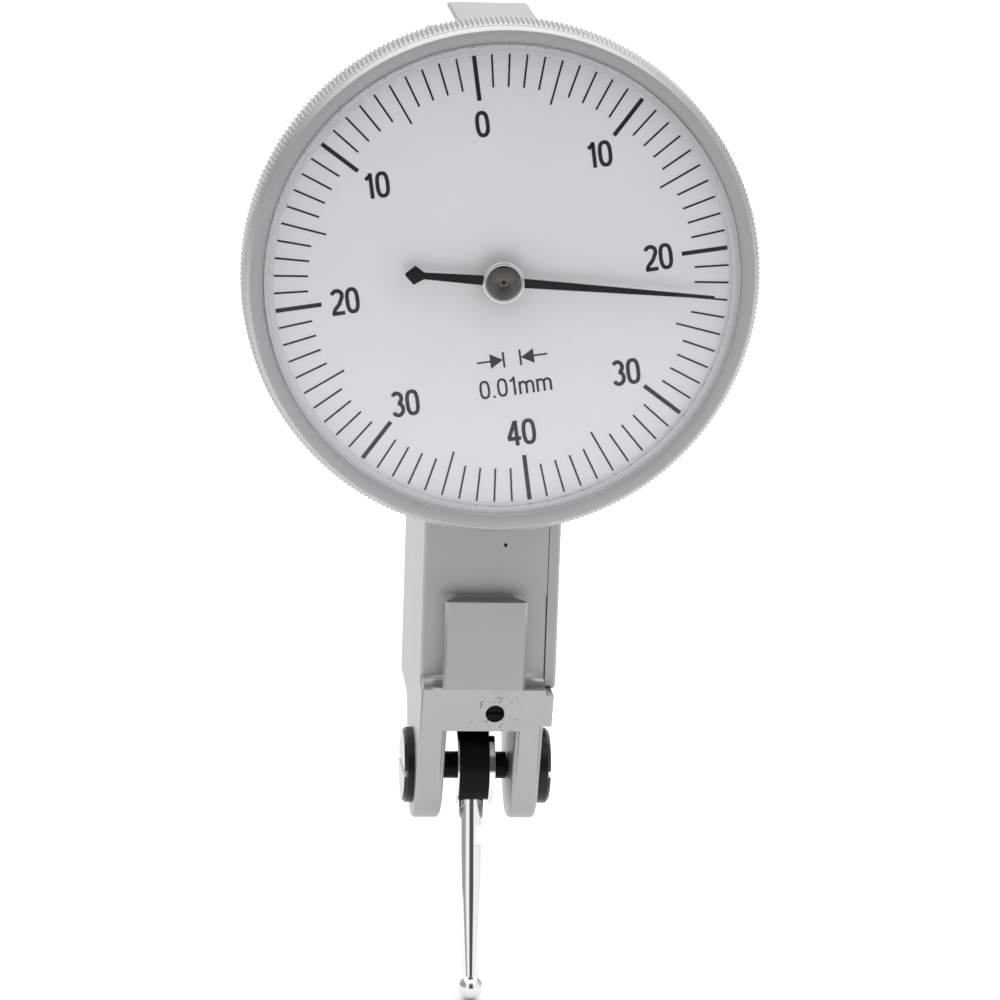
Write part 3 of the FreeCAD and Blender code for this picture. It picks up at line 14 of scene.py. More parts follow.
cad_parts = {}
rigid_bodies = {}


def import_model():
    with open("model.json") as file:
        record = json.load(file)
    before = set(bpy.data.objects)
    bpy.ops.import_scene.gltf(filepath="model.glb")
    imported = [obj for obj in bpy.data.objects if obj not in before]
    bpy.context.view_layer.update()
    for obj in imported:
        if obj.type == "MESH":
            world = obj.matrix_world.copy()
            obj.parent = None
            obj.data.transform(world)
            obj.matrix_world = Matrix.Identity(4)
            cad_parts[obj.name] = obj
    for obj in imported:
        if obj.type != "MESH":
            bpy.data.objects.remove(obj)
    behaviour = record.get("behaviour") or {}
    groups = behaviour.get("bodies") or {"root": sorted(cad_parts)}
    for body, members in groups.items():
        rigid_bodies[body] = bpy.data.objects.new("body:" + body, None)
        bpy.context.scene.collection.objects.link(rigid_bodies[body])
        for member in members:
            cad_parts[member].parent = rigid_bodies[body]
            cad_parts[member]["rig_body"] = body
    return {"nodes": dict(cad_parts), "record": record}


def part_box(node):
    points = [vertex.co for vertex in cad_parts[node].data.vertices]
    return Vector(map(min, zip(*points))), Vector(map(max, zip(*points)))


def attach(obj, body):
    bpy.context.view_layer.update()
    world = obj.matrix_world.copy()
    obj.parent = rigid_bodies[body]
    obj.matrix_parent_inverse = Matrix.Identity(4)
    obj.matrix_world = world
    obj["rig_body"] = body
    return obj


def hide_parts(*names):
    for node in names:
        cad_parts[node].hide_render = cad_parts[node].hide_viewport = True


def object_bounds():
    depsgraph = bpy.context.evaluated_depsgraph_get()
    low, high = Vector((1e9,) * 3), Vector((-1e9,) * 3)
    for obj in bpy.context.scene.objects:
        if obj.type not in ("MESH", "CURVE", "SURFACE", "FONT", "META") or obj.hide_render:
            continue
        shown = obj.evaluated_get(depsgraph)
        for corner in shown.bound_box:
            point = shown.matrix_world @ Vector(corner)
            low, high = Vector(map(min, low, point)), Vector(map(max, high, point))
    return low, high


bl_info = {
    "name": "Dial test indicator",
    "version": (1, 0, 0),
    "blender": (4, 5, 0),
    "location": "View3D > Sidebar > Indicator",
    "description": "Builds the visible pieces, finishes and studio of a dial test indicator",
    "category": "Object",
}

MM = 0.001
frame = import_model()
CAD_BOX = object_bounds()
NODES = frame["nodes"]


def size_of(node):
    """Low corner, high corner and radius across X of a node, in millimetres."""
    low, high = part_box(node)
    return low / MM, high / MM, (high.x - low.x) / 2 / MM


def middle_of(node):
    low, high, _ = size_of(node)
    return (low + high) / 2


BEZEL_LOW, BEZEL_HIGH, BEZEL_RADIUS = size_of("bezel")
CRYSTAL_LOW, CRYSTAL_HIGH, CRYSTAL_RADIUS = size_of("crystal")
DIAL_LOW, DIAL_HIGH, DIAL_RADIUS = size_of("dial_face")
WIRE_LOW, WIRE_HIGH, WIRE_RADIUS = size_of("retaining_wire")
BOSS_LOW, BOSS_HIGH, BOSS_RADIUS = size_of("pointer_boss")
BALL_RADIUS = size_of("stylus_ball")[2]
BALL_CENTRE = middle_of("stylus_ball")
PIVOT = middle_of("lever_axle")
FLOOR_Z = CAD_BOX[0][2] / MM
DIAL_HOLE_RADIUS = 1.3


# ---------------------------------------------------------------- user sizes and colours
def length(name, default, description, low=0.0):
    """A size in millimetres."""
    return FloatProperty(name=name, default=default, min=low, description=description + ", mm")


def angle(name, degrees, description):
    return FloatProperty(name=name, default=math.radians(degrees), subtype="ANGLE",
                         description=description)


def tint(name, default, description):
    return FloatVectorProperty(name=name, default=default, size=3, subtype="COLOR",
                               description=description)


def strength(name, default, description):
    return FloatProperty(name=name, default=default, min=0.0, description=description)


class BezelSizes(bpy.types.PropertyGroup):
    face_inset: length("Face inset", 0.5, "Front face edge in from the outer radius", 0.1)
    bevel_length: length("Bevel length", 1.0, "Length of the front bevel along the axis", 0.1)
    dish: length("Dish", 0.08, "How deep the front band falls towards the crystal")
    band_width: length("Band width", 1.1, "Width of the dished front band", 0.2)
    lip_width: length("Lip width", 0.65, "Width of the ledge that carries the crystal", 0.1)
    wall: length("Wall", 1.7, "Wall between the bore and the outer radius", 0.3)
    knurl_depth: length("Knurl depth", 0.2, "Height of the grip ribs", 0.02)
    knurl_count: IntProperty(name="Knurl ribs", default=320, min=12,
                             description="Number of grip ribs round the rim")


class CrystalSizes(bpy.types.PropertyGroup):
    edge: length("Edge", 1.2, "Height of the rim wall")
    wall: length("Wall", 0.65, "Thickness of the rim wall")
    thickness: length("Thickness", 0.6, "Thickness in the middle")
    shoulder: length("Shoulder", 0.45, "Inner dome's edge behind the outer one's")
    play: length("Play", 0.03, "Gap to the bezel")


class DialSizes(bpy.types.PropertyGroup):
    turn: angle("Dial turn", -8.967, "How far the dial is set from upright, clockwise")
    divisions: IntProperty(name="Divisions", default=80, min=10,
                           description="Number of graduation lines")
    tick_outer: length("Line outer radius", 17.56, "Radius where every line starts")
    short_line: length("Short line", 2.64, "Length of an ordinary line")
    long_line: length("Long line", 3.56, "Length of every fifth line")
    thin_width: length("Thin width", 0.15, "Width of an ordinary line")
    thick_width: length("Thick width", 0.33, "Width of every tenth line")
    numeral_radius: length("Numeral radius", 12.18, "Circle of the numerals' middles")
    numeral_height: length("Numeral height", 2.0, "Height of the numerals")
    unit_height: length("Unit height", 1.45, "Height of the unit's digits")
    ink_depth: length("Ink depth", 0.015, "Print thickness")


class StylusSizes(bpy.types.PropertyGroup):
    shank_radius: length("Shank radius", 1.015, "Radius of the straight shank")
    neck_radius: length("Neck radius", 0.605, "Radius where the taper meets the ball")
    straight_end: length("Straight end", 9.75, "From the pivot to where the taper starts")
    shank_start: length("Shank start", 2.75, "From the pivot to the shank's end face")
    flat_start: length("Flat start", 4.85, "From the pivot to the spanner flats")
    flat_length: length("Flat length", 1.6, "Length of the spanner flats")
    flat_half_width: length("Flat half width", 0.86, "From the middle to each flat")
    flat_turn: angle("Flat turn", -40, "Direction of the spanner flats about the shank")


class FinishColours(bpy.types.PropertyGroup):
    satin: tint("Satin metal", (0.40, 0.40, 0.408), "Body and bezel")
    bright: tint("Bright metal", (0.78, 0.775, 0.77), "Stylus and lever")
    black: tint("Black oxide", (0.006, 0.006, 0.0065), "Hub, axle and screws")
    dial: tint("Dial", (0.72, 0.715, 0.755), "Dial lacquer")
    ink: tint("Ink", (0.010, 0.010, 0.013), "Dial printing")


class StudioSettings(bpy.types.PropertyGroup):
    camera_distance: length("Camera distance", 481.9, "To the dial's centre")
    camera_azimuth: angle("Azimuth", 5.907, "Camera to the dial's left")
    camera_elevation: angle("Elevation", 11.173, "Camera above the dial")
    camera_roll: angle("Roll", 1.955, "Turn of the camera about its view")
    aim_down: angle("Aim down", 1.99, "Aim below the dial's centre")
    aim_side: angle("Aim side", -0.038, "Aim beside the dial's centre")
    lens: length("Lens", 226.03, "Focal length")
    surround: strength("Surround", 1.0, "Brightness of the studio walls")
    top_power: strength("Top power", 9.0, "Power of the overhead softbox, W")


# Brightness of the studio walls by bearing from the camera's side, in degrees to the right.
WALLS = (
    (-180, 1.15), (-150, 1.0), (-130, 0.50), (-90, 0.40), (-55, 0.45), (-48, 1.15),
    (-21, 1.15), (-16, 0.10), (17, 0.10), (25, 1.15), (82, 1.10), (100, 0.75), (130, 0.50),
    (150, 1.0), (180, 1.15),
)

GROUPS = (
    ("indicator_bezel", BezelSizes), ("indicator_crystal", CrystalSizes),
    ("indicator_dial", DialSizes), ("indicator_stylus", StylusSizes),
    ("indicator_finish", FinishColours), ("indicator_studio", StudioSettings),
)


# ---------------------------------------------------------------- shader building
class NodeBench:
    """Places nodes in a tree and links them, so that a recipe reads line by line."""

    def __init__(self, tree):
        self.tree = tree
        self.where = None
        tree.nodes.clear()

    def add(self, kind, inputs=(), **settings):
        node = self.tree.nodes.new(kind)
        for name, value in settings.items():
            setattr(node, name, value)
        return self.fill(node, inputs)

    def fill(self, node, inputs):
        for name, value in dict(inputs).items():
            self.feed(node.inputs[name], value)
        return node

    def feed(self, socket, value):
        if isinstance(value, bpy.types.NodeSocket):
            self.tree.links.new(value, socket)
        else:
            socket.default_value = value

    def math(self, operation, first, second=0.0, clamp=False):
        node = self.add("ShaderNodeMath", {0: first, 1: second}, operation=operation,
                        use_clamp=clamp)
        return node.outputs[0]

    def times(self, first, second, clamp=False):
        return self.math("MULTIPLY", first, second, clamp)

    def minus(self, first, second, clamp=False):
        return self.math("SUBTRACT", first, second, clamp)

    def vector(self, x, y, z):
        return self.add("ShaderNodeCombineXYZ", {"X": x, "Y": y, "Z": z}).outputs[0]

    def vector_math(self, operation, first, second):
        return self.add("ShaderNodeVectorMath", {0: first, 1: second},
                        operation=operation).outputs

    def mix(self, factor, first, second):
        """Blend of two colours."""
        node = self.add("ShaderNodeMix", {"Factor": factor, 6: first, 7: second},
                        data_type="RGBA")
        return node.outputs[2]

    def ramp(self, value, start, end, low=0.0, high=1.0, **settings):
        """Low at the start and high at the end, held beyond them."""
        node = self.add("ShaderNodeMapRange", {
            "Value": value, "From Min": start, "From Max": end, "To Min": low, "To Max": high},
            **settings)
        return node.outputs["Result"]

    def span(self, value, low, high):
        return self.ramp(value, 0.0, 1.0, low, high)

    def hypotenuse(self, first, second):
        squares = [self.math("MULTIPLY", leg, leg) for leg in (first, second)]
        return self.math("SQRT", self.math("ADD", *squares))

    def place(self):
        """Object coordinates."""
        if self.where is None:
            self.where = self.add("ShaderNodeTexCoord").outputs["Object"]
        return self.where

    def spot(self, vector=None):
        """X, Y and Z of a vector, or of the object coordinates."""
        return self.add("ShaderNodeSeparateXYZ", {"Vector": vector or self.place()}).outputs

    def noise(self, scale, detail=2.0, rough=0.5, vector=None):
        node = self.add("ShaderNodeTexNoise", {
            "Vector": vector or self.place(), "Scale": scale, "Detail": detail,
            "Roughness": rough})
        return node.outputs["Fac"]

    def bump(self, height, depth, inputs=()):
        return self.add("ShaderNodeBump", {
            "Strength": 1.0, "Distance": depth, "Height": height, **dict(inputs)}
            ).outputs["Normal"]

    def effect(self, tree, inputs=()):
        """Results of a shared effect with its inputs set."""
        return self.add("ShaderNodeGroup", inputs, node_tree=tree).outputs


def shared_effect(name, defaults):
    """Turn a recipe into a shader group that is built once; only Normal is a vector."""
    def wrap(recipe):
        def group():
            if name in bpy.data.node_groups:
                return bpy.data.node_groups[name]
            tree = bpy.data.node_groups.new(name, "ShaderNodeTree")
            for label, default in defaults.items():
                tree.interface.new_socket(label, in_out="INPUT", socket_type="NodeSocketFloat"
                                          ).default_value = default
            bench = NodeBench(tree)
            results = recipe(bench, bench.add("NodeGroupInput").outputs)
            for label in results:
                kind = "NodeSocketVector" if label == "Normal" else "NodeSocketFloat"
                tree.interface.new_socket(label, in_out="OUTPUT", socket_type=kind)
            bench.add("NodeGroupOutput", results)
            return tree
        return group
    return wrap


@shared_effect("fine grain", {"Scale": 9000.0, "Depth": 2e-6, "Edge": 6e-5})
def fine_grain(bench, given):
    """Blasted metal: fine grain bump, with broad uneven patches in its tone."""
    fine = bench.noise(given["Scale"], 3.0, 0.6)
    broad = bench.noise(180.0, 3.0, 0.55)
    edges = bench.add("ShaderNodeBevel", {"Radius": given["Edge"]}, samples=4)
    normal = bench.bump(fine, given["Depth"], {"Normal": edges.outputs["Normal"]})
    return {"Fine": fine, "Broad": broad, "Normal": normal}


@shared_effect("edge wear", {"Width": 8e-5, "Amount": 1.0})
def edge_wear(bench, given):
    """A mask that is one on sharp outer edges, broken up by noise."""
    edges = bench.add("ShaderNodeBevel", {"Radius": given["Width"]}, samples=4)
    geometry = bench.add("ShaderNodeNewGeometry")
    facing = bench.vector_math("DOT_PRODUCT", edges.outputs["Normal"],
                               geometry.outputs["Normal"])["Value"]
    bend = bench.times(bench.minus(1.0, facing), 9.0)
    rubbed = bench.times(bend, bench.noise(2600.0, 4.0, 0.7))
    return {"Mask": bench.times(rubbed, given["Amount"], clamp=True)}


@shared_effect("scribbles", {"X": 0.0, "Z": 0.0, "Inner": 1.1e-3, "Outer": 2.3e-3})
def scribbles(bench, given):
    """Thin wandering scratches that fade out round a point of the front face."""
    spot = bench.spot()
    distance = bench.hypotenuse(bench.minus(spot["X"], given["X"]),
                                bench.minus(spot["Z"], given["Z"]))
    near = bench.ramp(distance, given["Inner"], given["Outer"], 1.0, 0.0)
    wander = bench.minus(bench.noise(1100.0, 1.5, 0.5), 0.5)
    line = bench.ramp(bench.math("ABSOLUTE", wander), 0.004, 0.022, 1.0, 0.0)
    gaps = bench.ramp(bench.noise(2400.0, 2.0, 0.6), 0.48, 0.56)
    drawn = bench.times(line, gaps)
    return {"Mask": bench.times(drawn, near, clamp=True)}


@shared_effect("drawn lines", {"Across X": 9000.0, "Across Y": 9000.0, "Across Z": 300.0,
                               "Depth": 1e-6})
def drawn_lines(bench, given):
    """Fine parallel tool lines along one axis, as a value and a bump."""
    stretch = bench.vector(*(given["Across " + axis] for axis in "XYZ"))
    scaled = bench.vector_math("MULTIPLY", bench.place(), stretch)[0]
    noise = bench.noise(1.0, 3.0, 0.6, scaled)
    return {"Line": noise, "Normal": bench.bump(noise, given["Depth"])}


@shared_effect("turned rings", {"Rings": 60000.0, "Depth": 1e-6})
def rings_and_painted_glint(bench, given):
    """Lathe rings about the dial axis, with a painted glint: a light and dark pattern that turns
    with the angle.
    """
    spot = bench.spot()
    radius = bench.hypotenuse(spot["X"], spot["Z"])
    wave = bench.math("SINE", bench.times(radius, given["Rings"]))
    turn = bench.math("ARCTAN2", spot["X"], spot["Z"])
    # Painted glint: a wave in the angle round the axis, which lightens and darkens the colour
    # that uses it.
    glint_wave = bench.math("COSINE", bench.times(turn, 2.0))
    return {"Ring": bench.span(wave, 0.0, 1.0), "Fan": bench.span(glint_wave, 0.0, 1.0),
            "Normal": bench.bump(wave, given["Depth"])}


def start_material(name):
    material = bpy.data.materials.new(name)
    material.use_nodes = True
    bench = NodeBench(material.node_tree)
    output = bench.add("ShaderNodeOutputMaterial")
    shader = bench.add("ShaderNodeBsdfPrincipled")
    bench.feed(output.inputs["Surface"], shader.outputs[0])
    return material, bench, shader, output


def finish_recipe(recipe):
    """Turn a recipe for the shader's inputs into a maker of named materials."""
    def make(name, *values, **named):
        material, bench, shader, _ = start_material(name)
        bench.fill(shader, recipe(bench, *values, **named))
        return material
    return make


def shade(colour, factor):
    return (colour[0] * factor, colour[1] * factor, colour[2] * factor, 1.0)


@finish_recipe
def satin_metal(bench, colour, rough=(0.40, 0.54), grain=9000.0, depth=3e-6, wear=0.6,
                marks=None):
    """Blasted and chromed metal; marks may add dark places from a mask of its own."""
    surface = bench.effect(fine_grain(), {"Scale": grain, "Depth": depth, "Edge": 1.1e-4})
    worn = bench.effect(edge_wear(), {"Amount": wear})
    patch = bench.mix(surface["Broad"], shade(colour, 0.94), shade(colour, 1.06))
    tone = bench.mix(worn["Mask"], patch, shade(colour, 1.5))
    if marks:
        tone = bench.mix(marks(bench), tone, (0.012, 0.012, 0.012, 1.0))
    return {
        "Base Color": tone, "Metallic": 1.0, "Roughness": bench.span(surface["Fine"], *rough),
        "Normal": surface["Normal"]}


def fitted_gap(bench):
    """Dark joint line where the cover meets the bar, at its inner face and at its foot."""
    low = size_of("side_cover")[0]
    spot = bench.spot()
    masks = [bench.ramp(value, (start + 0.6 * width) * MM, (start + width) * MM, 0.93, 0.0)
             for value, start, width in ((spot["X"], low.x, 0.085), (spot["Z"], low.z, 0.14))]
    return bench.math("MAXIMUM", *masks)


def screw_scuffs(bench):
    """Scribbled tool marks round the set screw."""
    middle = middle_of("set_screw") * MM
    return bench.effect(scribbles(), {"X": middle.x, "Z": middle.z})["Mask"]


@finish_recipe
def drawn_metal(bench, colour, rough, across, depth=1e-6):
    """Polished or brushed metal with fine tool lines."""
    lines = bench.effect(drawn_lines(), {
        "Across X": across[0], "Across Y": across[1], "Across Z": across[2], "Depth": depth})
    return {
        "Base Color": bench.mix(lines["Line"], shade(colour, 0.9), shade(colour, 1.06)),
        "Metallic": 1.0, "Roughness": bench.span(lines["Line"], *rough),
        "Normal": lines["Normal"]}


@finish_recipe
def black_oxide(bench, colour):
    """Blackened steel that shows brighter metal where its edges are rubbed."""
    surface = bench.effect(fine_grain(), {"Scale": 14000.0, "Depth": 1.5e-6})
    worn = bench.effect(edge_wear(), {"Amount": 0.12})
    coat = bench.mix(surface["Broad"], shade(colour, 0.4), shade(colour, 1.0))
    return {
        "Base Color": bench.mix(worn["Mask"], coat, (0.32, 0.32, 0.33, 1.0)),
        "Metallic": 0.0, "Specular IOR Level": 0.1,
        "Roughness": bench.span(surface["Fine"], 0.30, 0.46), "Normal": surface["Normal"]}


@finish_recipe
def pivot_screw_metal(bench, black, bright, outer):
    """Blackened head with a lapped bright middle on its outer face."""
    lapped_radius, fade = 2.72, 0.08
    lapped_depth, blend = 0.30, 0.06
    surface = bench.effect(fine_grain())
    spot = bench.spot()
    face = bench.ramp(bench.math("ABSOLUTE", spot["X"]), (outer - lapped_depth - blend) * MM,
                      (outer - lapped_depth) * MM)
    radius = bench.hypotenuse(bench.minus(spot["Y"], PIVOT.y * MM),
                              bench.minus(spot["Z"], PIVOT.z * MM))
    middle = bench.ramp(radius, lapped_radius * MM, (lapped_radius + fade) * MM, 1.0, 0.0)
    mask = bench.times(face, middle)
    worn = bench.effect(edge_wear(), {"Amount": 0.5})
    rim = bench.mix(worn["Mask"], shade(black, 1.0), (0.16, 0.15, 0.15, 1.0))
    return {
        "Base Color": bench.mix(mask, rim, shade(bright, 0.55)),
        "Metallic": bench.span(mask, 0.0, 1.0), "Specular IOR Level": 0.3,
        "Roughness": bench.span(surface["Fine"], 0.26, 0.40), "Normal": surface["Normal"]}


@finish_recipe
def dial_lacquer(bench, colour):
    surface = bench.effect(fine_grain(), {"Scale": 16000.0, "Depth": 0.6e-6, "Edge": 1e-5})
    patch = bench.mix(surface["Broad"], shade(colour, 0.97), shade(colour, 1.03))
    sparkle = bench.times(surface["Fine"], 0.3)
    return {
        "Base Color": bench.mix(sparkle, patch, shade(colour, 1.12)), "Metallic": 0.25,
        "Roughness": bench.span(surface["Fine"], 0.42, 0.55), "Normal": surface["Normal"]}


@finish_recipe
def printing_ink(bench, colour):
    noise = bench.noise(9000.0)
    return {
        "Base Color": bench.mix(noise, shade(colour, 0.7), shade(colour, 1.9)),
        "Roughness": bench.span(noise, 0.38, 0.55), "Specular IOR Level": 0.2}


def clear_crystal(name):
    """Clear window: light passes it for shadows, so that the dial below is lit evenly."""
    material, bench, shader, output = start_material(name)
    bench.fill(shader, {
        "Base Color": (0.985, 0.99, 0.995, 1.0), "Transmission Weight": 1.0, "IOR": 1.36,
        "Roughness": bench.span(bench.noise(900.0, 4.0), 0.0, 0.012)})
    path = bench.add("ShaderNodeLightPath").outputs
    passing = bench.math("MAXIMUM", path["Is Shadow Ray"], path["Is Diffuse Ray"])
    through = bench.add("ShaderNodeBsdfTransparent")
    choose = bench.add("ShaderNodeMixShader", {
        0: passing, 1: shader.outputs[0], 2: through.outputs[0]})
    bench.feed(output.inputs["Surface"], choose.outputs[0])
    return material


@finish_recipe
def ruby(bench):
    tone = bench.mix(bench.noise(5000.0), (0.45, 0.01, 0.04, 1.0), (0.62, 0.03, 0.09, 1.0))
    return {"Base Color": tone, "Transmission Weight": 0.4, "Roughness": 0.08}


@finish_recipe
def spun_metal(bench, colour):
    """Facing-turned metal: fine rings, and a painted glint in the base colour that turns with the
    angle.
    """
    rings = bench.effect(rings_and_painted_glint(), {"Depth": 0.8e-6})
    # Painted highlight: the base colour is lighter and darker by the angle round the axis, in
    # place of the rings' own glint.
    painted_glint = bench.mix(rings["Fan"], shade(colour, 1.2), shade(colour, 0.8))
    grooves = bench.times(rings["Ring"], 0.3)
    return {
        "Base Color": bench.mix(grooves, painted_glint, shade(colour, 0.5)), "Metallic": 1.0,
        "Roughness": bench.span(rings["Ring"], 0.24, 0.36), "Normal": rings["Normal"]}


FINISHES = {}


def make_finishes():
    """Every finish of the instrument, by name."""
    colours = bpy.context.scene.indicator_finish
    outer = size_of("pivot_screws")[2]
    bright = tuple(colours.bright)
    black = tuple(colours.black)
    satin = tuple(colours.satin)
    rim = shade(colours.satin, 1.16)[:3]
    FINISHES.update({
        "satin": satin_metal("satin_chrome", satin),
        "satin_body": satin_metal("satin_chrome_bar", satin, marks=screw_scuffs),
        "satin_cover": satin_metal("satin_chrome_cover", satin, marks=fitted_gap),
        "bezel_satin": satin_metal("satin_chrome_bezel", rim, rough=(0.42, 0.60),
                                   grain=14000.0, depth=5e-6),
        "black_oxide": black_oxide("black_oxide_steel", black),
        "pivot_screw": pivot_screw_metal("pivot_screw_steel", black, bright, outer),
        "bright": drawn_metal("bright_chrome", bright, (0.05, 0.12), (9000.0, 9000.0, 500.0),
                              depth=0.3e-6),
        "steel": drawn_metal("turned_steel", (0.56, 0.57, 0.58), (0.18, 0.34),
                             (9000.0, 9000.0, 9000.0)),
        "screw_steel": drawn_metal("screw_head_steel", (0.50, 0.51, 0.53), (0.16, 0.30),
                                   (3000.0, 9000.0, 9000.0)),
        "spring_steel": drawn_metal("tempered_strip", (0.20, 0.24, 0.34), (0.18, 0.30),
                                    (6000.0, 6000.0, 900.0)),
        "brass": satin_metal("machined_brass", (0.71, 0.52, 0.22), rough=(0.22, 0.36),
                             grain=7000.0, depth=1e-6, wear=0.4),
        "bronze": satin_metal("arbor_bronze", (0.20, 0.15, 0.12), rough=(0.25, 0.40)),
        "ruby": ruby("ruby_jewel"),
        "crystal": clear_crystal("clear_crystal"),
        "dial": dial_lacquer("dial_lacquer", tuple(colours.dial)),
        "ledge": dial_lacquer("frosted_ledge", shade(colours.dial, 0.92)[:3]),
        "ink": printing_ink("dial_ink", tuple(colours.ink)),
        "pointer_black": black_oxide("pointer_black", (0.006, 0.006, 0.007)),
        "spun": spun_metal("spun_boss_face", (0.15, 0.135, 0.13)),
        "boss_chrome": drawn_metal("boss_chrome", (0.80, 0.80, 0.80), (0.08, 0.16),
                                   (5000.0, 5000.0, 5000.0), depth=0.3e-6),
    })


# ---------------------------------------------------------------- mesh building
def linked(name, data):
    """A new object in the scene."""
    piece = bpy.data.objects.new(name, data)
    bpy.context.scene.collection.objects.link(piece)
    return piece


def plain_mesh(work, name, smooth=True, recalculate=True):
    """Close a working mesh and return the plain one."""
    if recalculate:
        bmesh.ops.recalc_face_normals(work, faces=work.faces)
    mesh = bpy.data.meshes.new(name)
    work.to_mesh(mesh)
    work.free()
    if smooth:
        mesh.polygons.foreach_set("use_smooth", [True] * len(mesh.polygons))
    return mesh


def show(mesh, finish, body, replaced):
    """Show a mesh as a piece: its material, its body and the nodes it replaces."""
    piece = linked(mesh.name, mesh)
    mesh.materials.clear()
    mesh.materials.append(FINISHES[finish])
    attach(piece, body)
    if replaced:
        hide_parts(*replaced)


def mesh_piece(mesh, finish, body, replaced, sharp=28.0):
    mesh.set_sharp_from_angle(angle=math.radians(sharp))
    show(mesh, finish, body, replaced)


def evaluated(piece):
    """The piece's mesh with its modifiers done; the piece itself is removed."""
    bpy.context.view_layer.update()
    graph = bpy.context.evaluated_depsgraph_get()
    mesh = bpy.data.meshes.new_from_object(piece.evaluated_get(graph))
    mesh.name = piece.name
    bpy.data.objects.remove(piece)
    return mesh


def dressed_copy(node, finish, bevel=0.0):
    """A welded copy of a CAD node, with smooth rounds and flat faces, that stands for it."""
    source = NODES[node]
    work = bmesh.new()
    work.from_mesh(source.data)
    bmesh.ops.remove_doubles(work, verts=work.verts, dist=1e-7)
    bmesh.ops.dissolve_limit(work, angle_limit=math.radians(0.5), verts=work.verts,
                             edges=work.edges)
    mesh = plain_mesh(work, node + "_shown", recalculate=False)
    mesh.set_sharp_from_angle(angle=math.radians(28.0))
    piece = linked(mesh.name, mesh)
    if bevel:
        ease = piece.modifiers.new("ease", "BEVEL")
        ease.width = bevel * MM
        ease.segments = 2
        ease.limit_method = "ANGLE"
        ease.angle_limit = math.radians(40)
    weigh = piece.modifiers.new("weigh", "WEIGHTED_NORMAL")
    weigh.keep_sharp = True
    show(evaluated(piece), finish, source["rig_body"], (node,))


def eased(profile, radius, steps=3):
    """Round the corners of a closed profile by arcs of about the given radius."""
    rounded = []
    count = len(profile)
    for index, corner in enumerate(profile):
        here = Vector(corner)
        before = Vector(profile[index - 1]) - here
        after = Vector(profile[(index + 1) % count]) - here
        if corner[0] <= 0.0 or before.length == 0 or after.length == 0:
            rounded.append(tuple(here))
            continue
        reach = min(radius, before.length * 0.4, after.length * 0.4)
        start = here + before.normalized() * reach
        end = here + after.normalized() * reach
        for step in range(steps + 1):
            share = step / steps
            near = start.lerp(here, share)
            far = here.lerp(end, share)
            rounded.append(tuple(near.lerp(far, share)))
    return rounded


def bridge(work, first, second, closed=True):
    """Faces between two rows of vertices; a row of one vertex is a pole."""
    count = max(len(first), len(second))
    if count == 1:
        return
    for index in range(count if closed else count - 1):
        after = (index + 1) % count
        near = first if len(first) == 1 else [first[index], first[after]]
        far = second if len(second) == 1 else [second[after], second[index]]
        work.faces.new(near + far)


def lathe_mesh(name, profile, segments, closed=True):
    """Turn (radius, y) points, in millimetres, about the Y axis."""
    work = bmesh.new()
    rings = []
    for radius, y in profile:
        turns = [2 * math.pi * index / segments for index in range(segments)]
        if radius < 1e-6:
            turns = [0.0]
        rings.append([work.verts.new((radius * MM * math.sin(turn), y * MM,
                                      radius * MM * math.cos(turn))) for turn in turns])
    for first, second in zip(rings, rings[1:] + rings[:1] if closed else rings[1:]):
        bridge(work, first, second)
    return plain_mesh(work, name)


def tree_result(name, tree, values):
    """Run a geometry tree on an empty mesh and return the plain mesh that it makes."""
    holder = linked(name, bpy.data.meshes.new(name + "_holder"))
    modifier = holder.modifiers.new("make", "NODES")
    modifier.node_group = tree
    for item in tree.interface.items_tree:
        if item.item_type == "SOCKET" and item.in_out == "INPUT" and item.name in values:
            modifier[item.identifier] = values[item.name]
    return evaluated(holder)


def geometry_tree(name, inputs):
    """An empty geometry tree with named inputs, of which only Count is whole."""
    tree = bpy.data.node_groups.new(name, "GeometryNodeTree")
    tree.interface.new_socket("Geometry", in_out="INPUT", socket_type="NodeSocketGeometry")
    for label in inputs:
        kind = "NodeSocketInt" if label == "Count" else "NodeSocketFloat"
        tree.interface.new_socket(label, in_out="INPUT", socket_type=kind)
    tree.interface.new_socket("Geometry", in_out="OUTPUT", socket_type="NodeSocketGeometry")
    bench = NodeBench(tree)
    return tree, bench, bench.add("NodeGroupInput").outputs, bench.add("NodeGroupOutput").inputs


def spokes(bench, given, shape, chosen=None):
    """Copies of a shape at equal turns about the Y axis."""
    count = given["Count"]
    line = bench.add("GeometryNodeMeshLine", {"Count": count, "Offset": (0.0, 0.0, 0.0)})
    index = bench.add("GeometryNodeInputIndex").outputs[0]
    step = bench.math("DIVIDE", 2 * math.pi, count)
    turn = bench.math("ADD", bench.times(index, step), given["Turn"])
    copies = bench.add("GeometryNodeInstanceOnPoints", {
        "Points": line.outputs[0], "Instance": shape, "Rotation": bench.vector(0.0, turn, 0.0)})
    if chosen is not None:
        bench.feed(copies.inputs["Selection"], chosen(index))
    return copies.outputs[0]


def close_tree(bench, ends, parts, material):
    joined = bench.add("GeometryNodeJoinGeometry")
    for part in parts:
        bench.tree.links.new(part, joined.inputs[0])
    real = bench.add("GeometryNodeRealizeInstances", {"Geometry": joined.outputs[0]})
    coated = bench.add("GeometryNodeSetMaterial", {
        "Geometry": real.outputs[0], "Material": material})
    bench.feed(ends["Geometry"], coated.outputs[0])


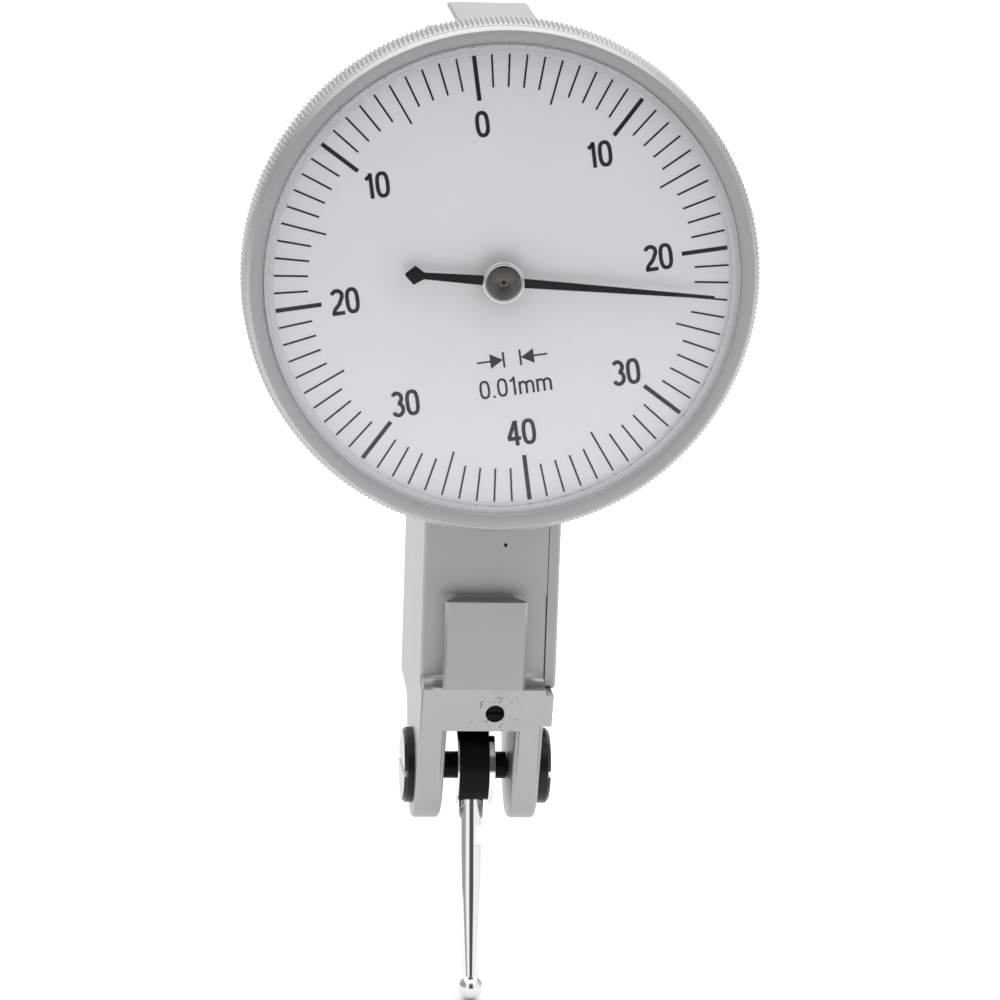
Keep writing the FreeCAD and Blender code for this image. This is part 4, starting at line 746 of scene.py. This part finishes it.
def graduation_tree():
    """Dial lines: ordinary, every fifth long, every tenth long and thick."""
    tree, bench, given, ends = geometry_tree("dial graduation", (
        "Count", "Turn", "Outer", "Short", "Long", "Thin", "Thick", "Depth", "Front"))

    def line_shape(width, reach):
        block = bench.add("GeometryNodeMeshCube", {
            "Size": bench.vector(width, given["Depth"], reach)})
        rise = bench.minus(given["Outer"], bench.math("DIVIDE", reach, 2.0))
        moved = bench.add("GeometryNodeTransform", {
            "Geometry": block.outputs[0], "Translation": bench.vector(0.0, given["Front"], rise)})
        return moved.outputs[0]

    def every(period, without=None):
        def chosen(index):
            hits = [bench.math("COMPARE", bench.math("MODULO", index, step), 0.0)
                    for step in (period, without) if step]
            return bench.minus(*hits, clamp=True) if without else hits[0]
        return chosen

    parts = [spokes(bench, given, line_shape(given[width], given[reach]), chosen)
             for width, reach, chosen in (
                 ("Thin", "Short", every(1, 5)), ("Thin", "Long", every(5, 10)),
                 ("Thick", "Long", every(10)))]
    close_tree(bench, ends, parts, FINISHES["ink"])
    return tree


def knurl_tree(rib):
    """Grip ribs round the bezel."""
    tree, bench, given, ends = geometry_tree("bezel knurl", ("Count", "Turn"))
    source = bench.add("GeometryNodeObjectInfo", {"Object": rib})
    ribs = spokes(bench, given, source.outputs["Geometry"])
    close_tree(bench, ends, (ribs,), FINISHES["bezel_satin"])
    return tree


# ---------------------------------------------------------------- dial printing
def arc(centre, radii, start, end, steps=10):
    """Points of an ellipse arc; angles in degrees, from +x towards +y."""
    points = []
    for step in range(steps + 1):
        turn = math.radians(start + (end - start) * step / steps)
        points.append((centre[0] + radii[0] * math.cos(turn),
                       centre[1] + radii[1] * math.sin(turn)))
    return points


def loop_points(half_width, half_height, power=2.7, steps=40):
    """Closed oval with straight sides, as in a narrow numeral."""
    points = []
    for step in range(steps):
        turn = 2 * math.pi * step / steps
        cosine = math.cos(turn)
        sine = math.sin(turn)
        points.append((half_width * math.copysign(abs(cosine) ** (2 / power), cosine),
                       half_height * math.copysign(abs(sine) ** (2 / power), sine)))
    return points


HALF, TOP = 0.185, 0.44

# For each glyph, in a cell one high: its width, then its middle lines as (points, closed).
GLYPHS = {
    "0": (0.54, [(loop_points(HALF, TOP), True)]),
    "1": (0.42, [([(-0.12, 0.27), (0.02, 0.36), (0.06, TOP)], False),
                 ([(0.07, 0.5), (0.07, -0.5)], False)]),
    "2": (0.54, [(arc((0, 0.25), (HALF, 0.195), 165, -25, 12)
                  + [(0.06, -0.08), (-0.12, -0.28), (-HALF, -TOP)], False),
                 ([(-0.235, -TOP), (0.225, -TOP)], False)]),
    "3": (0.54, [(arc((-0.01, 0.235), (0.165, 0.205), 150, -80, 12), False),
                 (arc((-0.01, -0.2), (HALF, 0.24), 85, -155, 14), False)]),
    "4": (0.56, [([(0.09, 0.5), (0.09, -0.5)], False), ([(0.07, 0.47), (-0.205, -0.2)], False),
                 ([(-0.24, -0.21), (0.245, -0.21)], False)]),
    ".": (0.26, [([(0, -0.5), (0, -0.38)], False)]),
    "m": (0.80, [([(-0.3, -0.5), (-0.3, 0.2)], False)] + [
        ([(left, -0.02)] + arc((left + 0.15, -0.02), (0.15, 0.17), 165, 0, 8)
         + [(left + 0.3, -0.5)], False) for left in (-0.3, 0.0)]),
}


class InkPlate:
    """Collects flat printed shapes in the dial's own plane, x right and y up."""

    def __init__(self, front, depth, turn):
        self.work = bmesh.new()
        self.front = front
        self.depth = depth
        self.cosine = math.cos(turn)
        self.sine = math.sin(turn)

    def rows(self, points):
        """The points at the back and at the front of the ink."""
        return [[self.work.verts.new((
            MM * (x * self.cosine + y * self.sine), MM * (self.front + level),
            MM * (y * self.cosine - x * self.sine))) for x, y in points]
            for level in (-self.depth, self.depth)]

    def solid(self, outline):
        """A thin plate over an outline."""
        back, front = self.rows(outline)
        self.work.faces.new(back)
        self.work.faces.new(front[::-1])
        bridge(self.work, back, front)

    def band(self, left, right, closed):
        """A thin strip between two lines."""
        lefts, rights = self.rows(left), self.rows(right)
        for first, second in (*zip(lefts, rights), lefts, rights):
            bridge(self.work, first, second, closed)
        if not closed:
            for end in (0, -1):
                self.work.faces.new((lefts[0][end], rights[0][end], rights[1][end],
                                     lefts[1][end]))

    def stroke(self, points, closed, width):
        """A band of even width along a middle line."""
        count = len(points)
        left = []
        right = []
        for index, point in enumerate(points):
            here = Vector(point)
            into = out = None
            if closed or index:
                into = (here - Vector(points[index - 1])).normalized()
            if closed or index < count - 1:
                out = (Vector(points[(index + 1) % count]) - here).normalized()
            into = into or out
            out = out or into
            middle = (into + out).normalized()
            stretch = 1 / max(0.5, math.sqrt((1 + into.dot(out)) / 2))
            offset = Vector((-middle.y, middle.x)) * (width / 2 * stretch)
            left.append(tuple(here + offset))
            right.append(tuple(here - offset))
        self.band(left, right, closed)

    def word(self, text, middle, height, weight, stretch):
        widths = [GLYPHS[letter][0] * height * stretch for letter in text]
        left = middle[0] - sum(widths) / 2
        for letter, width in zip(text, widths):
            centre = left + width / 2
            for points, closed in GLYPHS[letter][1]:
                moved = [(centre + x * height * stretch, middle[1] + y * height)
                         for x, y in points]
                self.stroke(moved, closed, weight * height)
            left += width


# ---------------------------------------------------------------- operators
class PieceOperator:
    """Shared settings of the piece operators."""

    bl_options = {"REGISTER", "UNDO"}


class INDICATOR_OT_finishes(PieceOperator, bpy.types.Operator):
    """Build every finish that the pieces use"""

    bl_idname = "indicator.finishes"
    bl_label = "Finishes"

    def execute(self, context):
        make_finishes()
        return {"FINISHED"}


class INDICATOR_OT_body(PieceOperator, bpy.types.Operator):
    """Body bar with its cover, case plate and outer screws"""

    bl_idname = "indicator.body"
    bl_label = "Body and cover"

    def execute(self, context):
        dressed_copy("body_housing", "satin_body")
        dressed_copy("side_cover", "satin_cover")
        dressed_copy("case_plate", "satin")
        dressed_copy("cover_screws", "screw_steel", bevel=0.05)
        dressed_copy("pivot_screws", "pivot_screw")
        dressed_copy("set_screw", "black_oxide", bevel=0.04)
        return {"FINISHED"}


class INDICATOR_OT_bezel(PieceOperator, bpy.types.Operator):
    """Turning bezel: lathe-turned ring with a dished front band and knurled grip"""

    bl_idname = "indicator.bezel"
    bl_label = "Bezel"

    def execute(self, context):
        sizes = context.scene.indicator_bezel
        back_break = 0.15
        front = BEZEL_LOW.y
        back = BEZEL_HIGH.y
        core = BEZEL_RADIUS - sizes.knurl_depth
        face = BEZEL_RADIUS - sizes.face_inset
        slope = sizes.bevel_length / sizes.face_inset
        crystal = face - sizes.band_width
        lip = crystal - sizes.lip_width
        bore = BEZEL_RADIUS - sizes.wall
        seat = CRYSTAL_HIGH.y
        profile = eased([
            (face, front), (core, front + slope * (core - face)), (core, back - back_break),
            (core - back_break, back), (bore, back), (bore, WIRE_HIGH.y),
            (WIRE_RADIUS, WIRE_HIGH.y), (WIRE_RADIUS, WIRE_LOW.y), (bore, WIRE_LOW.y),
            (bore, seat), (crystal, seat), (crystal, front + sizes.dish)], 0.06)
        ledge = eased([(lip, DIAL_LOW.y), (lip, seat), (crystal, seat), (bore, DIAL_LOW.y)], 0.02)
        rib = self.rib(core, face, front, back, slope, sizes)
        knurl = tree_result("bezel_knurl", knurl_tree(rib),
                            {"Count": sizes.knurl_count, "Turn": 0.0})
        bpy.data.objects.remove(rib)
        for mesh, finish in (
                (lathe_mesh("bezel_ring", profile, 256), "bezel_satin"),
                (lathe_mesh("bezel_ledge", ledge, 192), "ledge"), (knurl, "bezel_satin")):
            mesh_piece(mesh, finish, "bezel_assembly", ("bezel",))
        return {"FINISHED"}

    def rib(self, core, face, front, back, slope, sizes):
        """One grip rib at the top of the rim, its front end cut by the bevel."""
        half = math.pi * core / sizes.knurl_count
        crest_half = half * 0.22
        foot = core - 0.04
        crest = BEZEL_RADIUS
        ends = (
            (front + slope * (foot - face), front + slope * (crest - face)),
            (back - 0.06, back - 0.22))
        work = bmesh.new()
        rows = [[work.verts.new((x * MM, y * MM, z * MM)) for x, y, z in (
            (-half, foot_y, foot), (-crest_half, crest_y, crest),
            (crest_half, crest_y, crest), (half, foot_y, foot))] for foot_y, crest_y in ends]
        bridge(work, *rows)
        for row in rows:
            work.faces.new(row)
        return linked("rib", plain_mesh(work, "rib", smooth=False))


def dome_drop(radius, rise, distance):
    """How far a dome of a given rim radius and rise falls at a distance from its middle."""
    sphere = (radius * radius + rise * rise) / (2 * rise)
    return sphere - math.sqrt(sphere * sphere - distance * distance)


class INDICATOR_OT_crystal(PieceOperator, bpy.types.Operator):
    """Thin domed window"""

    bl_idname = "indicator.crystal"
    bl_label = "Crystal"

    def execute(self, context):
        sizes = context.scene.indicator_crystal
        radius = CRYSTAL_RADIUS - sizes.play
        seat = CRYSTAL_HIGH.y - sizes.play
        apex = CRYSTAL_LOW.y
        edge = seat - sizes.edge
        steps = 22
        outer = []
        inner = []
        well = radius - sizes.wall
        for step in range(steps + 1):
            share = step / steps
            outer.append((radius * share, apex + dome_drop(radius, edge - apex, radius * share)))
            inner.append((well * share, apex + sizes.thickness + dome_drop(
                well, edge + sizes.shoulder - apex - sizes.thickness, well * share)))
        shoulder = outer.pop()[1]
        corner = [(radius - 0.1, shoulder - 0.01), (radius - 0.03, shoulder + 0.04),
                  (radius, shoulder + 0.14)]
        profile = outer + corner + [(radius, seat), (well, seat)] + inner[::-1]
        mesh_piece(lathe_mesh("crystal_dome", profile, 160, closed=False), "crystal",
                   "bezel_assembly", ("crystal",))
        return {"FINISHED"}


class INDICATOR_OT_dial(PieceOperator, bpy.types.Operator):
    """Dial plate with its printed lines, numerals, arrows and unit"""

    bl_idname = "indicator.dial"
    bl_label = "Dial"

    def execute(self, context):
        sizes = context.scene.indicator_dial
        front = DIAL_LOW.y
        plate = eased([
            (DIAL_HOLE_RADIUS, front), (DIAL_RADIUS, front), (DIAL_RADIUS, DIAL_HIGH.y),
            (DIAL_HOLE_RADIUS, DIAL_HIGH.y)], 0.02)
        mesh_piece(lathe_mesh("dial_plate", plate, 160), "dial", "bezel_assembly",
                   ("dial_face",))
        lines = tree_result("dial_lines", graduation_tree(), {
            "Count": sizes.divisions, "Turn": sizes.turn, "Outer": sizes.tick_outer * MM,
            "Short": sizes.short_line * MM, "Long": sizes.long_line * MM,
            "Thin": sizes.thin_width * MM, "Thick": sizes.thick_width * MM,
            "Depth": 2 * sizes.ink_depth * MM, "Front": front * MM})
        mesh_piece(lines, "ink", "bezel_assembly", ())
        ink = InkPlate(front, sizes.ink_depth, sizes.turn)
        for index, text in enumerate(("0", "10", "20", "30", "40", "30", "20", "10")):
            turn = math.radians(45 * index)
            middle = (sizes.numeral_radius * math.sin(turn),
                      sizes.numeral_radius * math.cos(turn))
            ink.word(text, middle, sizes.numeral_height, 0.15, 1.06)
        ink.word("0.01mm", (0.03, -8.45), sizes.unit_height, 0.125, 1.18)
        self.arrows(ink, -6.29)
        mesh_piece(plain_mesh(ink.work, "dial_numerals", smooth=False), "ink",
                   "bezel_assembly", ())
        return {"FINISHED"}

    def arrows(self, ink, height):
        """Two arrows that point at two short bars, the mark for one division."""
        for side in (-1, 1):
            bar = side * 0.65
            head = bar + side * 1.05
            ink.stroke([(bar, height - 0.62), (bar, height + 0.62)], False, 0.16)
            ink.stroke([(head, height), (head + side * 1.05, height)], False, 0.14)
            ink.solid([(bar + side * 0.04, height), (head, height + 0.58),
                       (head, height - 0.58)])


class INDICATOR_OT_pointer(PieceOperator, bpy.types.Operator):
    """Pointer with its turned boss and arbor end"""

    bl_idname = "indicator.pointer"
    bl_label = "Pointer"

    def execute(self, context):
        dressed_copy("pointer", "pointer_black", bevel=0.03)
        front = BOSS_LOW.y
        back = BOSS_HIGH.y
        radius = BOSS_RADIUS
        rim = radius - 0.27
        collar_radius = 0.31
        ring = eased([
            (radius, back), (radius, front + 0.04), (radius - 0.07, front),
            (rim + 0.04, front), (rim, front + 0.1), (rim, back)], 0.03)
        disc = eased([
            (collar_radius, back), (rim + 0.01, back), (rim + 0.01, front + 0.10),
            (collar_radius, front + 0.13)], 0.02)
        collar = eased([
            (0.17, back), (0.17, front + 0.09), (0.20, front + 0.06), (0.27, front + 0.06),
            (collar_radius, front + 0.10), (collar_radius, back)], 0.02)
        centre = [(0.0, back), (0.175, back), (0.175, front + 0.105), (0.0, front + 0.105)]
        for mesh, finish, replaced, slot in (
                (lathe_mesh("boss_ring", ring, 96), "boss_chrome", ("pointer_boss",), "bright"),
                (lathe_mesh("boss_disc", disc, 96), "spun", ("pointer_boss",), "bright"),
                (lathe_mesh("arbor_collar", collar, 48), "bronze", (), "bronze"),
                (lathe_mesh("arbor_centre", centre, 32, closed=False), "pointer_black", (),
                 "pointer_black")):
            mesh_piece(mesh, finish, "pointer_shaft", replaced)
        return {"FINISHED"}


class INDICATOR_OT_stylus(PieceOperator, bpy.types.Operator):
    """Swivelling stylus with its hub, axle, cheek and friction washer"""

    bl_idname = "indicator.stylus"
    bl_label = "Stylus and lever"

    def execute(self, context):
        dressed_copy("swivel_hub", "black_oxide", bevel=0.06)
        dressed_copy("lever_axle", "black_oxide", bevel=0.05)
        dressed_copy("lever_arm", "bright", bevel=0.05)
        dressed_copy("friction_washer", "bright", bevel=0.03)
        self.shank(context.scene.indicator_stylus)
        self.ball()
        return {"FINISHED"}

    def shank(self, sizes):
        """Straight shank and taper; its flats are pressed from the round rings."""
        root_radius, root_length = 0.66, 1.2
        end_break, flat_break = 0.06, 0.04
        axis = BALL_CENTRE - PIVOT
        axis.x = 0.0
        flat_end = sizes.flat_start + sizes.flat_length
        spots = [(sizes.shank_start - root_length, root_radius), (sizes.shank_start, root_radius),
                 (sizes.shank_start, sizes.shank_radius - end_break)]
        spots += [(at, sizes.shank_radius) for at in (
            sizes.shank_start + end_break, sizes.flat_start - flat_break, sizes.flat_start,
            flat_end, flat_end + flat_break)]
        taper_end = axis.length - 0.5 * BALL_RADIUS
        steps = 8
        for step in range(steps + 1):
            share = step / steps
            spots.append((
                sizes.straight_end + (taper_end - sizes.straight_end) * share,
                sizes.shank_radius + (sizes.neck_radius - sizes.shank_radius) * share))
        segments = 96
        work = bmesh.new()
        rings = []
        facing = Vector((math.cos(sizes.flat_turn), math.sin(sizes.flat_turn)))
        for at, radius in spots:
            pressed = sizes.flat_start - 0.001 <= at <= flat_end + 0.001
            ring = []
            for index in range(segments):
                turn = 2 * math.pi * index / segments
                spot = Vector((radius * math.cos(turn), radius * math.sin(turn)))
                if pressed:
                    out = spot.dot(facing)
                    limit = max(-sizes.flat_half_width, min(sizes.flat_half_width, out))
                    spot += facing * (limit - out)
                ring.append(work.verts.new((spot.x * MM, spot.y * MM, -at * MM)))
            rings.append(ring)
        for first, second in zip(rings, rings[1:]):
            bridge(work, first, second)
        work.faces.new(rings[0])
        work.faces.new(rings[-1])
        mesh = plain_mesh(work, "stylus_shank")
        lean = math.atan2(axis.y, -axis.z)
        start = Vector((BALL_CENTRE.x, PIVOT.y, PIVOT.z)) * MM
        mesh.transform(Matrix.Translation(start) @ Matrix.Rotation(lean, 4, "X"))
        mesh_piece(mesh, "bright", "stylus_assembly", ("stylus",), sharp=22.0)

    def ball(self):
        work = bmesh.new()
        bmesh.ops.create_uvsphere(work, u_segments=64, v_segments=32, radius=BALL_RADIUS * MM)
        mesh = plain_mesh(work, "contact_ball", recalculate=False)
        mesh.transform(Matrix.Translation(BALL_CENTRE * MM))
        mesh_piece(mesh, "bright", "stylus_assembly", ("stylus_ball",), sharp=60.0)


class INDICATOR_OT_movement(PieceOperator, bpy.types.Operator):
    """Finishes of the pieces inside the body and case"""

    bl_idname = "indicator.movement"
    bl_label = "Movement"

    def execute(self, context):
        record = frame["record"]
        slots = {entry["node"]: entry["material_slot"] for entry in record["subparts"]}
        for name, piece in NODES.items():
            if piece.hide_render:
                continue
            piece.data.materials.clear()
            piece.data.materials.append(FINISHES[slots[name]])
        return {"FINISHED"}


class INDICATOR_OT_studio(PieceOperator, bpy.types.Operator):
    """Pale floor with painted shade in front, soft light and camera"""

    bl_idname = "indicator.studio"
    bl_label = "Studio"

    def execute(self, context):
        settings = context.scene.indicator_studio
        self.floor()
        self.surround(context.scene, settings)
        self.softbox("top_softbox", (0, 200, 750), 1600, settings.top_power)
        self.camera(context.scene, settings)
        context.scene.view_settings.view_transform = "Standard"
        return {"FINISHED"}

    def floor(self):
        mesh = lathe_mesh("floor", [(0.0, 0.0), (4000.0, 0.0)], 64, closed=False)
        mesh.transform(Matrix.Rotation(math.radians(90), 4, "X"))
        mesh.transform(Matrix.Translation((0, 0, FLOOR_Z * MM)))
        floor = linked("floor", mesh)
        material, bench, shader, _ = start_material("pale_floor")
        pale = bench.mix(bench.noise(4.0), (0.94, 0.94, 0.94, 1), (0.96, 0.96, 0.96, 1))
        # Painted shade: the floor goes dark grey in front of the instrument, out of view, so the
        # metal reflects a darker front.
        painted_front_shade = bench.ramp(bench.spot()["Y"], -0.10, -0.36, interpolation_type="SMOOTHSTEP")
        bench.fill(shader, {
            "Base Color": bench.mix(painted_front_shade, pale, (0.20, 0.20, 0.205, 1)), "Roughness": 0.9,
            "Specular IOR Level": 0.1})
        mesh.materials.append(material)

    def surround(self, scene, settings):
        """Soft walls whose brightness changes with the bearing, under an even ceiling."""
        world = bpy.data.worlds.new("studio")
        world.use_nodes = True
        scene.world = world
        bench = NodeBench(world.node_tree)
        spot = bench.spot(bench.add("ShaderNodeTexCoord").outputs["Generated"])
        bearing = bench.math("ARCTAN2", spot["X"], bench.times(spot["Y"], -1.0))
        share = bench.math("ADD", bench.math("DIVIDE", bearing, 2 * math.pi), 0.5)
        walls = bench.add("ShaderNodeValToRGB", {"Fac": share})
        stops = walls.color_ramp.elements
        while len(stops) < len(WALLS):
            stops.new(0.5)
        for stop, (degrees, level) in zip(stops, WALLS):
            stop.position = degrees / 360 + 0.5
            stop.color = (level, level, level, 1.0)
        lift = bench.ramp(spot["Z"], 0.55, 0.85, interpolation_type="SMOOTHSTEP")
        tone = bench.mix(lift, walls.outputs["Color"], (1.0, 1.0, 1.0, 1.0))
        shine = bench.add("ShaderNodeBackground", {"Color": tone, "Strength": settings.surround})
        bench.add("ShaderNodeOutputWorld", {"Surface": shine.outputs[0]})

    def softbox(self, name, place, size, power):
        light = bpy.data.lights.new(name, "AREA")
        light.shape = "SQUARE"
        light.size = size * MM
        light.energy = power
        linked(name, light).location = Vector(place) * MM

    def camera(self, scene, settings):
        """A long lens a little left of and above the dial."""
        around = (Matrix.Rotation(settings.camera_elevation, 3, "X")
                  @ Matrix.Rotation(settings.camera_azimuth, 3, "Z"))
        turn = (Matrix.Rotation(settings.camera_roll, 3, "Y")
                @ Matrix.Rotation(settings.aim_down, 3, "X")
                @ Matrix.Rotation(-settings.aim_side, 3, "Z") @ around)
        target = Vector((0, BEZEL_LOW.y, 0))
        place = target + around.transposed() @ Vector((0, -settings.camera_distance, 0))
        lens = bpy.data.cameras.new("camera")
        lens.lens = settings.lens
        lens.sensor_width = 36.0
        lens.clip_start = 0.01
        lens.clip_end = 20.0
        camera = linked("camera", lens)
        columns = Matrix((turn.row[0], turn.row[2], -Vector(turn.row[1]))).transposed()
        camera.matrix_world = Matrix.Translation(place * MM) @ columns.to_4x4()
        scene.camera = camera


STEPS = (
    INDICATOR_OT_finishes, INDICATOR_OT_body, INDICATOR_OT_bezel, INDICATOR_OT_crystal,
    INDICATOR_OT_dial, INDICATOR_OT_pointer, INDICATOR_OT_stylus, INDICATOR_OT_movement,
    INDICATOR_OT_studio,
)


class INDICATOR_PT_pieces(bpy.types.Panel):
    """Sizes, colours and the step that builds each piece"""

    bl_idname = "INDICATOR_PT_pieces"
    bl_label = "Dial test indicator"
    bl_space_type = "VIEW_3D"
    bl_region_type = "UI"
    bl_category = "Indicator"

    def draw(self, context):
        layout = self.layout
        for attribute, group in GROUPS:
            column = layout.column(align=True)
            column.label(text=attribute.replace("indicator_", "").capitalize())
            for name in group.__annotations__:
                column.prop(getattr(context.scene, attribute), name)
        for step in STEPS:
            layout.operator(step.bl_idname)


def register():
    for attribute, group in GROUPS:
        bpy.utils.register_class(group)
        setattr(bpy.types.Scene, attribute, PointerProperty(type=group))
    for step in STEPS:
        bpy.utils.register_class(step)
    bpy.utils.register_class(INDICATOR_PT_pieces)


def unregister():
    bpy.utils.unregister_class(INDICATOR_PT_pieces)
    for step in reversed(STEPS):
        bpy.utils.unregister_class(step)
    for attribute, group in reversed(GROUPS):
        delattr(bpy.types.Scene, attribute)
        bpy.utils.unregister_class(group)


def main():
    register()
    bpy.ops.indicator.finishes()
    bpy.ops.indicator.body()
    bpy.ops.indicator.bezel()
    bpy.ops.indicator.crystal()
    bpy.ops.indicator.dial()
    bpy.ops.indicator.pointer()
    bpy.ops.indicator.stylus()
    bpy.ops.indicator.movement()
    bpy.ops.indicator.studio()


if __name__ == "__main__":
    main()
